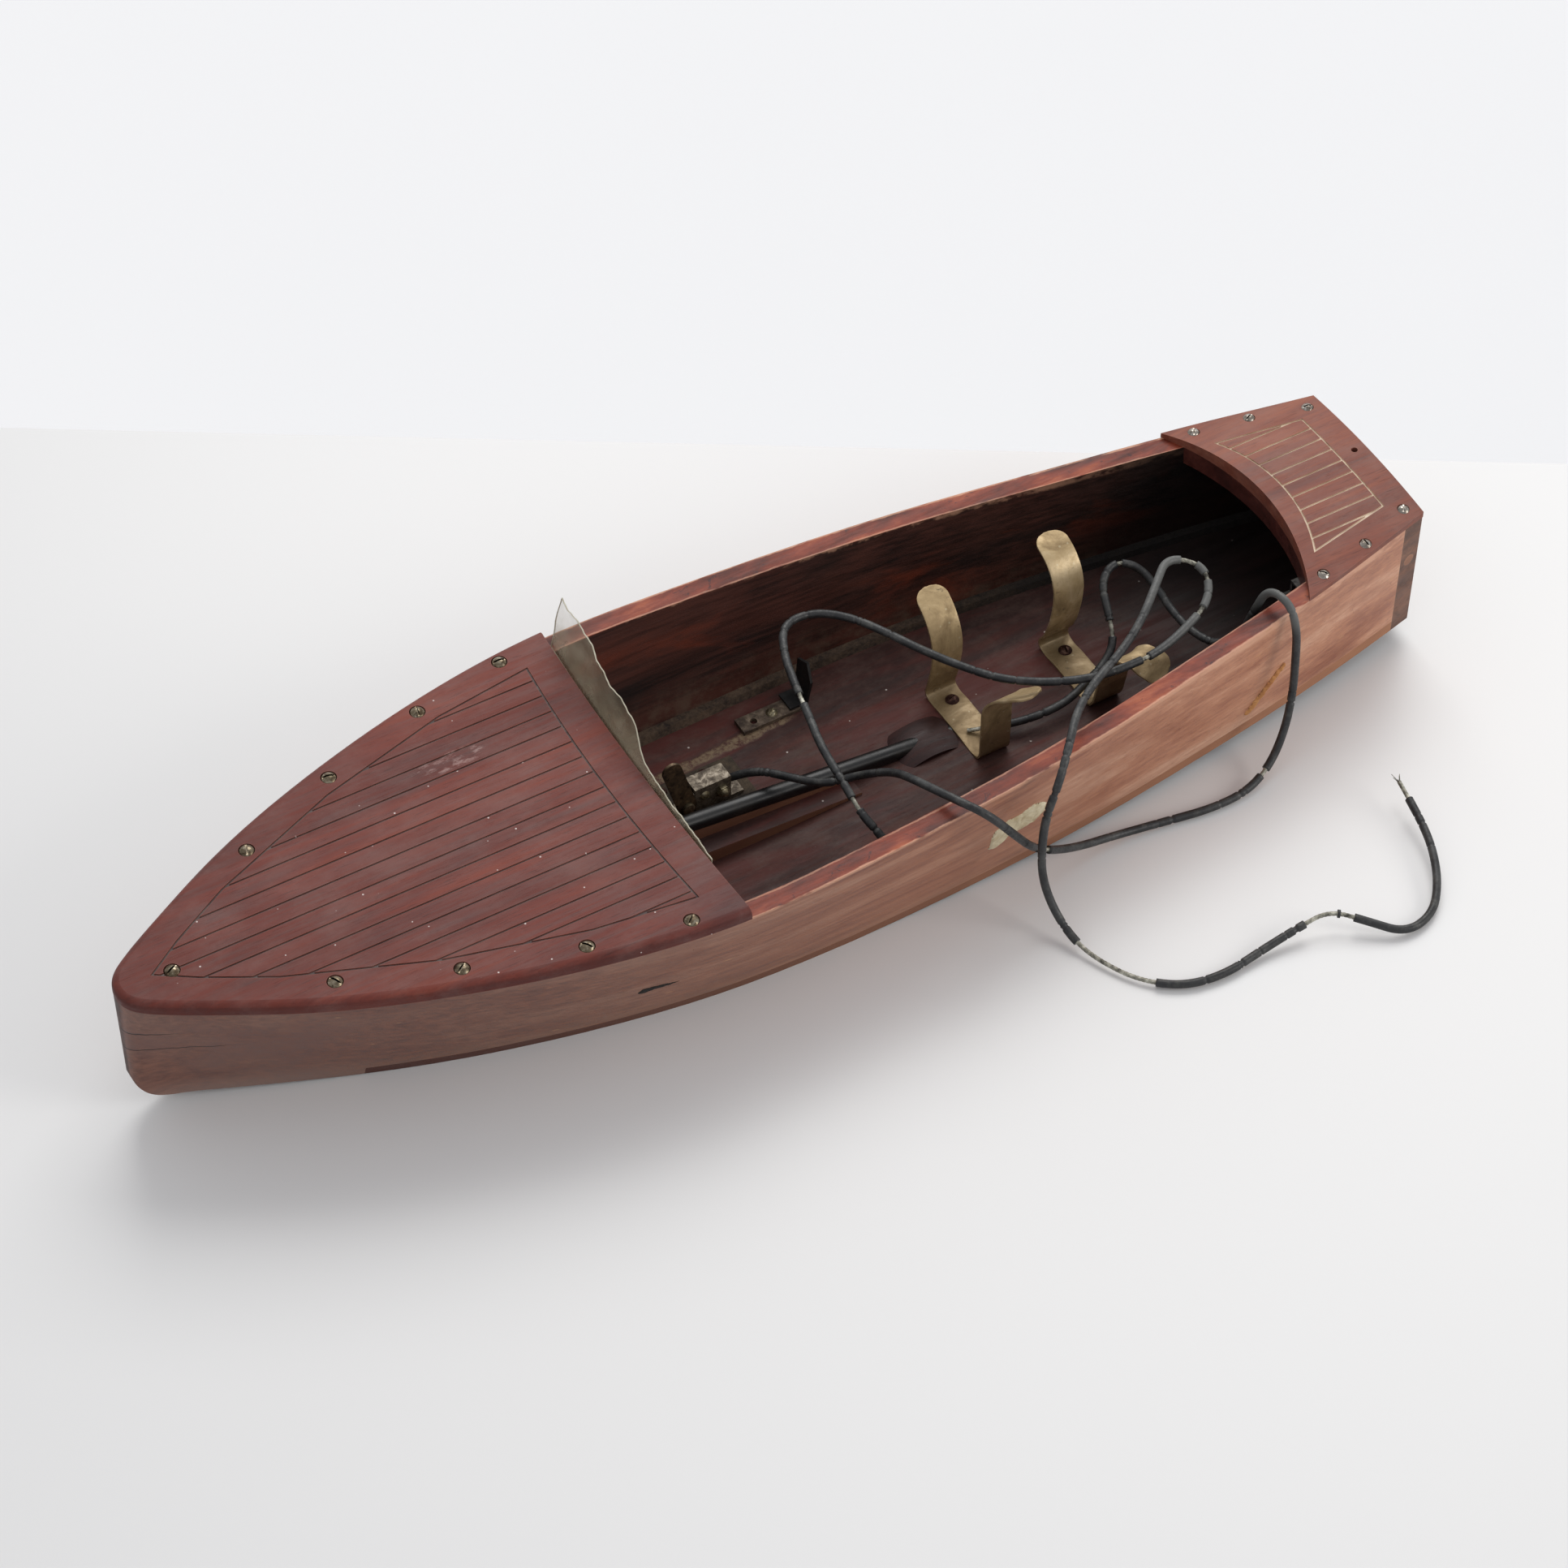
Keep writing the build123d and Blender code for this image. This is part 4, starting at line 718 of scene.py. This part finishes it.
ENAMEL = metal("motor_enamel", lin(16, 16, 17), lin(26, 26, 28), lin(40, 40, 42), (0.3, 0.5), 0.0)
TARNISH = metal("tarnished_brass", lin(70, 60, 50), lin(108, 98, 84), lin(140, 130, 116), (0.4, 0.65), 0.5,
                380, lin(66, 54, 42), 0.4)
LEVER = metal("dark_lever", lin(50, 38, 28), lin(82, 66, 48), lin(118, 98, 74), (0.42, 0.6), 0.6, 300,
              lin(24, 18, 14), 0.3)
SWITCH = metal("switch_metal", lin(92, 82, 62), lin(138, 128, 104), lin(184, 176, 152), (0.3, 0.55), 0.85,
               420, lin(70, 58, 42), 0.3)
IRON = metal("blackened_iron", lin(10, 9, 9), lin(18, 17, 17), lin(34, 31, 30), (0.5, 0.7), 0.2, 200,
             lin(36, 26, 22), 0.4)
GREY = metal("grey_iron", lin(62, 60, 58), lin(92, 90, 87), lin(128, 126, 122), (0.4, 0.6), 0.8)


def clip_look():
    g = Graph("clip_brass")
    _, _, z = g.split(g.place)
    cloud = g.noise(g.stretch(70, 90, 60), 1.0, 6, 0.65, 0.6)
    fine = g.even_noise(900, 3, 0.6)
    base = g.ramp(cloud, [(0.34, lin(140, 118, 84)), (0.52, lin(180, 156, 116)),
                          (0.70, lin(210, 188, 150))])
    base = g.mix(g.span(z, 0.034, 0.016, 0.0, 0.55), base, lin(112, 92, 64))
    spots = g.span(g.even_noise(330, 5, 0.7, shift=(2, 1, 5)), 0.6, 0.72)
    base = g.mix(g.times(spots, 0.7), base, lin(84, 72, 54))
    pale = g.span(g.cells(g.stretch(260, 260, 260), 1.0), 0.14, 0.07)
    base = g.mix(g.times(pale, 0.35), base, lin(206, 196, 166))
    normal = g.bump(g.plus(fine, g.times(cloud, 2.0)), 0.25, 0.0002)
    return g.set(color=base, rough=g.span(cloud, 0.35, 0.65, 0.6, 0.4), metal=0.4, normal=normal)


def putty_look(name, dark, light, grain):
    g = Graph(name)
    crumbs = g.even_noise(grain, 6, 0.75, 0.3)
    lumps = g.noise(g.stretch(grain * 0.2, grain * 0.3, grain * 0.3), 1.0, 4, 0.6)
    base = g.ramp(g.plus(g.times(crumbs, 0.55), g.times(lumps, 0.45)), [(0.36, dark), (0.66, light)])
    x, _, _ = g.split(g.place)
    # painted shade: darker towards the stern
    base = g.mix(g.span(x, -0.06, -0.15, 0.0, 0.92), base, SHADE)
    normal = g.bump(crumbs, 0.8, 0.0006)
    return g.set(color=base, rough=0.9, normal=normal)


CLIP = clip_look()
PUTTY = wood("stained_putty", lin(30, 15, 14), lin(48, 26, 24), lin(68, 38, 34), 0.8, (0.4, 0.62), 0.0,
             None, (5, 2, 8))
GLUE = putty_look("old_glue", lin(34, 23, 19), lin(104, 84, 66), 650)
RUBBER_BASE = putty_look("switch_base_rubber", lin(22, 18, 16), lin(84, 70, 54), 420)
paint("foredeck_screws", SCREW)
paint("aft_deck_screws", BRIGHT_SCREW)
paint("stern_tube", TUBE)
paint("tube_putty", PUTTY)
paint("propeller_shaft", STEEL)
paint("shaft_coupling", COUPLING)
paint("motor_armature", MOTOR)
paint("motor_field", ENAMEL)
paint("motor_bridges", COUPLING)
paint("switch_base", RUBBER_BASE)
paint("switch_contacts", TARNISH)
paint("floor_plate", metal("dusty_plate", lin(62, 50, 42), lin(96, 82, 68), lin(132, 116, 98), (0.5, 0.7),
                           0.4, 300, lin(52, 38, 32), 0.4))
paint("switch_lever", LEVER)
paint("switch_pivot switch_terminals floor_plate_screw", SWITCH)
paint("switch_screws clip_screws lead_tack", RUSTY)
paint("floor_bracket", IRON)
paint("quarter_strap", GREY)
paint("floor_seams", GLUE)


# ---------------------------------------------------------------- battery clips
FRONT_CLIP = [
    (-77.8, -28.2, 54.2), (-77.8, -22.5, 51.6), (-77.8, -17.2, 46.5), (-77.8, -14.0, 39.5),
    (-77.8, -13.7, 33.0), (-77.8, -14.8, 25.0), (-77.8, -16.4, 18.0), (-77.8, -17.2, 13.6),
    (-77.8, -15.8, 12.25), (-77.8, -8.0, 12.2), (-77.8, 4.0, 12.2), (-77.8, 15.8, 12.25),
    (-77.8, 17.4, 13.6), (-77.8, 18.2, 20.0), (-77.8, 18.4, 30.0), (-78.0, 18.8, 38.0),
    (-79.2, 21.0, 43.0), (-82.0, 25.0, 46.8), (-86.0, 30.5, 50.6),
]
REAR_CLIP = [
    (-123.8, -24.6, 60.4), (-123.8, -19.0, 59.2), (-123.8, -13.2, 55.8), (-123.8, -9.2, 49.0),
    (-123.8, -8.8, 41.0), (-123.8, -10.4, 31.0), (-123.8, -13.2, 22.0), (-123.8, -16.2, 15.0),
    (-123.8, -14.6, 13.55), (-123.8, -6.0, 13.5), (-123.8, 4.0, 13.5), (-123.8, 15.2, 13.55),
    (-123.8, 17.2, 15.2), (-124.0, 19.6, 24.0), (-124.6, 21.0, 33.0), (-126.0, 22.8, 39.6),
    (-128.8, 26.4, 41.8), (-132.2, 30.4, 40.4), (-136.4, 34.6, 36.6),
]


def spring_strip(name, points, width, thick, node, material):
    """Bent metal strip with rounded tongues, a little dished and dented."""
    curve = bpy.data.curves.new(name + "_line", "CURVE")
    curve.dimensions = "3D"
    curve.resolution_u = 8
    spline = curve.splines.new("BEZIER")
    spline.bezier_points.add(len(points) - 1)
    for b, p in zip(spline.bezier_points, points):
        b.co = Vector(p) * MM
        b.handle_left_type = b.handle_right_type = "AUTO"
    helper = bpy.data.objects.new(name + "_line", curve)
    bpy.context.scene.collection.objects.link(helper)
    bpy.context.view_layer.update()
    mesh = bpy.data.meshes.new_from_object(helper)
    line = [v.co.copy() for v in mesh.vertices]
    bpy.data.objects.remove(helper)
    bpy.data.curves.remove(curve)
    bpy.data.meshes.remove(mesh)
    line = even(line, 0.6 * MM)
    across = 12
    verts, faces = [], []
    last = len(line) - 1
    for i, p in enumerate(line):
        t = (line[min(i + 1, last)] - line[max(i - 1, 0)]).normalized()
        side = Vector((1, 0, 0))
        side = (side - t * side.dot(t)).normalized()
        face = t.cross(side)
        tongue = min(1.0, min(i, last - i) * 0.6 / (width * 0.42))
        round_end = math.sqrt(1 - (1 - tongue) ** 2)
        half = width / 2 * (round_end * 0.86 + 0.14)
        for k in range(across + 1):
            u = 2 * k / across - 1
            dent = 0.12 * noise.noise(Vector((u * 1.2, i * 0.05, width))) + 0.10 * u * u
            verts.append(p + side * (u * half * MM) + face * (dent * MM))
    n = across + 1
    for i in range(last):
        for k in range(across):
            faces.append((i * n + k, (i + 1) * n + k, (i + 1) * n + k + 1, i * n + k + 1))
    obj = new_mesh(name, verts, faces, material)
    solid = obj.modifiers.new("sheet", "SOLIDIFY")
    solid.thickness = thick * MM
    solid.offset = 0
    soft = obj.modifiers.new("edge", "BEVEL")
    soft.width = 0.12 * MM
    soft.segments = 2
    soft.limit_method = "ANGLE"
    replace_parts(obj, node)
    return obj


spring_strip("clip_strip_front", FRONT_CLIP, CLIP_WIDTH, CLIP_THICK, "battery_clip_front", CLIP)
spring_strip("clip_strip_rear", REAR_CLIP, CLIP_WIDTH, CLIP_THICK, "battery_clip_rear", CLIP)


# ---------------------------------------------------------------- windscreen
def celluloid_look(rim):
    g = Graph("celluloid_rim" if rim else "yellowed_celluloid")
    cloud = g.noise(g.stretch(30, 40, 60), 1.0, 5, 0.65)
    lines = g.noise(g.stretch(90, 200, 34), 1.0, 2, 0.5, 0.25)
    creases = g.noise(g.stretch(30, 60, 110, (2, 2, 2)), 1.0, 1, 0.5, 0.35)
    crease = g.span(g.math("ABSOLUTE", g.minus(creases, 0.5)), 0.012, 0.003)
    scratch = g.math("MAXIMUM", g.span(lines, 0.60, 0.72, 0.0, 0.6), crease)
    _, _, z = g.split(g.place)
    base = g.ramp(cloud, [(0.35, lin(178, 168, 140)), (0.65, lin(208, 200, 174))])
    base = g.mix(g.times(scratch, 0.5), base, lin(120, 114, 100))
    alpha = g.plus(g.span(cloud, 0.3, 0.7, 0.12, 0.26), g.times(scratch, 0.14))
    alpha = g.plus(alpha, g.span(z, 0.076, 0.060, 0.0, 0.2), True)
    if rim:
        base, alpha = g.mix(cloud, lin(150, 142, 120), lin(206, 200, 180)), 0.95
    return g.set(color=base, rough=g.span(lines, 0.3, 0.7, 0.12, 0.4), alpha=alpha,
                 normal=g.bump(lines, 0.12, 0.0002))


SCREEN_TOP = [
    (-66.0, 82.6), (-62.2, 82.8), (-48.5, 80.9), (-28.7, 78.1), (-9.2, 73.6), (-2.5, 68.6),
    (3.1, 64.4), (18.9, 61.4), (33, 61.2), (46, 59.2),
]


def screen_top(y):
    for (y0, z0), (y1, z1) in zip(SCREEN_TOP, SCREEN_TOP[1:]):
        if y <= y1:
            return z0 + (z1 - z0) * (y - y0) / (y1 - y0)
    return SCREEN_TOP[-1][1]


def make_screen():
    """Thin warped sheet torn down towards port, with a wavy top edge."""
    foot, thick = 57.0, 0.5
    wide, tall = 140, 24
    verts = []
    for i in range(wide + 1):
        share = i / wide
        y_foot, y_top = -66.2 + 112.2 * share, -62.2 + 108.2 * share
        top = screen_top(y_top) + 0.22 * math.sin(y_top * 0.55) + 0.15 * math.sin(y_top * 1.7 + 1)
        for j in range(tall + 1):
            y = y_foot + (y_top - y_foot) * j / tall
            z = foot + (top - foot) * j / tall
            free = min(1.0, max(0.0, (z - 59) / 12))
            wave = 0.7 * free * math.sin(y * 0.19 + 0.6) + 0.25 * free * math.sin(y * 0.6 + z * 0.2)
            x = 51.1 - 2.5 * (y / 66) ** 2 - 0.15 * (z - 56.6) + wave
            verts.append(Vector((x, y, z)) * MM)
    n = tall + 1
    faces = [(i * n + j, (i + 1) * n + j, (i + 1) * n + j + 1, i * n + j + 1)
             for i in range(wide) for j in range(tall)]
    obj = new_mesh("celluloid_windscreen", verts, faces, [celluloid_look(False), celluloid_look(True)])
    solid = obj.modifiers.new("sheet", "SOLIDIFY")
    solid.thickness = thick * MM
    solid.offset = 0
    solid.material_offset_rim = 1
    return obj


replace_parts(make_screen(), "windscreen")


# ---------------------------------------------------------------- marks on the port side
def tree_of(node):
    obj = NODES[node]
    return BVHTree.FromPolygons([v.co.copy() for v in obj.data.vertices],
                                [tuple(p.vertices) for p in obj.data.polygons])


PORT = tree_of("hull_side_port")


def on_port(x, z, out=0.0):
    """Point on the outside of the port planking at station x and height z (millimetres)."""
    hit, normal, _, _ = PORT.ray_cast(Vector((x * MM, 0.2, z * MM)), Vector((0, -1, 0)))
    if hit is None:
        hit, normal = Vector((x * MM, 0.06, z * MM)), Vector((0, 1, 0))
    return hit + normal * out * MM


def crust(name, outline, material, rise, seed, grid=0.7):
    """Thin raised crust with a ragged outline, lying on the port planking."""
    xs = [p[0] for p in outline]
    zs = [p[1] for p in outline]

    def inside(x, z):
        hit = False
        j = len(outline) - 1
        for i in range(len(outline)):
            (x0, z0), (x1, z1) = outline[i], outline[j]
            if (z0 > z) != (z1 > z) and x < (x1 - x0) * (z - z0) / (z1 - z0) + x0:
                hit = not hit
            j = i
        return hit

    def gap(x, z):
        best = 1e9
        for (x0, z0), (x1, z1) in zip(outline, outline[1:] + outline[:1]):
            dx, dz = x1 - x0, z1 - z0
            t = max(0.0, min(1.0, ((x - x0) * dx + (z - z0) * dz) / (dx * dx + dz * dz)))
            best = min(best, math.hypot(x - x0 - t * dx, z - z0 - t * dz))
        return best

    nx = int((max(xs) - min(xs)) / grid) + 3
    nz = int((max(zs) - min(zs)) / grid) + 3
    verts, index = [], {}
    for i in range(nx):
        for j in range(nz):
            x, z = min(xs) - grid + i * grid, min(zs) - grid + j * grid
            wob = 0.45 * noise.noise(Vector((x * 0.8, z * 0.8, seed)))
            g = gap(x, z) * (1 if inside(x, z) else -1) + wob
            if g > -grid * 0.9:
                h = rise * min(1.0, max(0.0, g / 0.9)) ** 0.6
                h *= 0.8 + 0.35 * noise.noise(Vector((x * 0.5, z * 0.5, seed + 3)))
                index[i, j] = len(verts)
                verts.append(on_port(x, z, h if g > 0 else -0.15))
    faces = []
    for i, j in index:
        quad = [(i, j), (i + 1, j), (i + 1, j + 1), (i, j + 1)]
        if all(q in index for q in quad):
            faces.append(tuple(index[q] for q in quad))
    return new_mesh(name, verts, faces, material)


def filler_look():
    g = Graph("cream_filler")
    cloud = g.even_noise(160, 6, 0.65, 0.5)
    base = g.ramp(cloud, [(0.35, lin(170, 150, 112)), (0.52, lin(205, 192, 160)),
                          (0.7, lin(228, 219, 194))])
    return g.set(color=base, rough=g.span(cloud, 0.3, 0.7, 0.45, 0.7), normal=g.bump(cloud, 0.5, 0.0004))


FILLER = [
    (-48.7, 21.8), (-49.4, 31), (-54.8, 35.2), (-59.5, 34.6), (-65.5, 37), (-70.8, 34.0),
    (-71.4, 29.4), (-67, 25.2), (-61, 24.4), (-57.7, 25.6), (-54.4, 21.6), (-50.8, 20.4),
]
crust("filler_patch", FILLER, filler_look(), 0.7, 11, 0.5)
SPLINTER = wood("raw_splinter", lin(150, 84, 44), lin(206, 148, 92), lin(232, 188, 134), 1.2, (0.55, 0.7),
                0.0)
GOUGE = [
    (-178.6, 29.5), (-176.4, 27.4), (-171.2, 22.4), (-167.4, 18.0), (-163.0, 13.2), (-161.6, 14.4),
    (-165.6, 19.4), (-170.2, 24.2), (-175.2, 29.2), (-178.0, 31.0),
]
crust("splinter", GOUGE, SPLINTER, 1.4, 21, 0.3)
DARK = putty_look("dark_split", lin(14, 11, 10), lin(40, 34, 28), 700)
SPLIT = [
    (84.6, 22.6), (83.0, 25.4), (78.5, 25.3), (74.0, 24.4), (69.6, 23.4), (73.6, 22.4),
    (78.4, 22.6), (82.0, 21.6),
]
crust("split", SPLIT, DARK, 0.25, 31, 0.35)


# ---------------------------------------------------------------- ground, wall and light
def plain(name, colour, rough):
    g = Graph(name)
    cloud = g.even_noise(3, 3, 0.5)
    a = tuple(c * 0.985 for c in colour[:3]) + (1,)
    return g.set(color=g.mix(cloud, a, colour), rough=rough,
                 normal=g.bump(g.even_noise(90, 3, 0.5), 0.04, 0.0003))


def stage_mesh(name, corners, material):
    mesh = bpy.data.meshes.new(name)
    mesh.from_pydata(corners, [], [tuple(range(len(corners)))])
    mesh.materials.append(material)
    obj = bpy.data.objects.new(name, mesh)
    bpy.context.scene.collection.objects.link(obj)
    return obj


BACK_LEFT = Vector((0.148, -0.3154, 0.0))
BACK_RIGHT = Vector((-0.343, -0.0066, 0.0))
along = (BACK_RIGHT - BACK_LEFT).normalized()
back = Vector((along.y, -along.x, 0.0)) * -1.0
if back.dot(CAMERA_AT) > 0:
    back = -back
centre = (BACK_LEFT + BACK_RIGHT) / 2
TABLE_HALF = 3.2
TABLE_DEEP = 5
WALL_HALF = 6
WALL_BACK = 3.2
WALL_LOW, WALL_HIGH = -6.0, 3
side, front = along * TABLE_HALF, back * TABLE_DEEP
table = [centre - side, centre + side, centre + side - front, centre - side - front]
stage_mesh("table", [tuple(p) for p in table], plain("table_white", (0.78, 0.78, 0.775, 1), 0.35))
drop, lift = Vector((0, 0, WALL_LOW)), Vector((0, 0, WALL_HIGH))
wall_left = centre - along * WALL_HALF + back * WALL_BACK
wall_right = centre + along * WALL_HALF + back * WALL_BACK
wall = [wall_left + drop, wall_right + drop, wall_right + lift, wall_left + lift]
wall_look = plain("wall_white", (0.80, 0.80, 0.80, 1), 0.8)
wall_shader = wall_look.node_tree.nodes["Principled BSDF"]
wall_shader.inputs["Emission Color"].default_value = (1, 1, 1, 1)
wall_shader.inputs["Emission Strength"].default_value = 0.42
stage_mesh("wall", [tuple(p) for p in wall], wall_look)


def area(name, at, to, size, power, colour=(1, 1, 1)):
    data = bpy.data.lights.new(name, "AREA")
    data.shape = "RECTANGLE"
    data.size, data.size_y = size
    data.energy = power
    data.color = colour
    obj = bpy.data.objects.new(name, data)
    obj.location = at
    obj.rotation_mode = "QUATERNION"
    obj.rotation_quaternion = (Vector(to) - Vector(at)).to_track_quat("-Z", "Y")
    bpy.context.scene.collection.objects.link(obj)
    return obj


area("window", (-0.85, -1.05, 1.6), (0, 0, 0), (1.6, 1.2), 20, (1.0, 0.985, 0.96))
area("fill", (-1.5, 1.5, 1.0), (-0.1, 0, 0), (0.9, 0.9), 15, (1.0, 0.97, 0.93))
world = bpy.data.worlds.new("room")
bpy.context.scene.world = world
world.use_nodes = True
sky = world.node_tree.nodes["Background"]
sky.inputs["Color"].default_value = (0.95, 0.96, 1.0, 1)
sky.inputs["Strength"].default_value = 0.60
bpy.context.scene.view_settings.view_transform = "Standard"
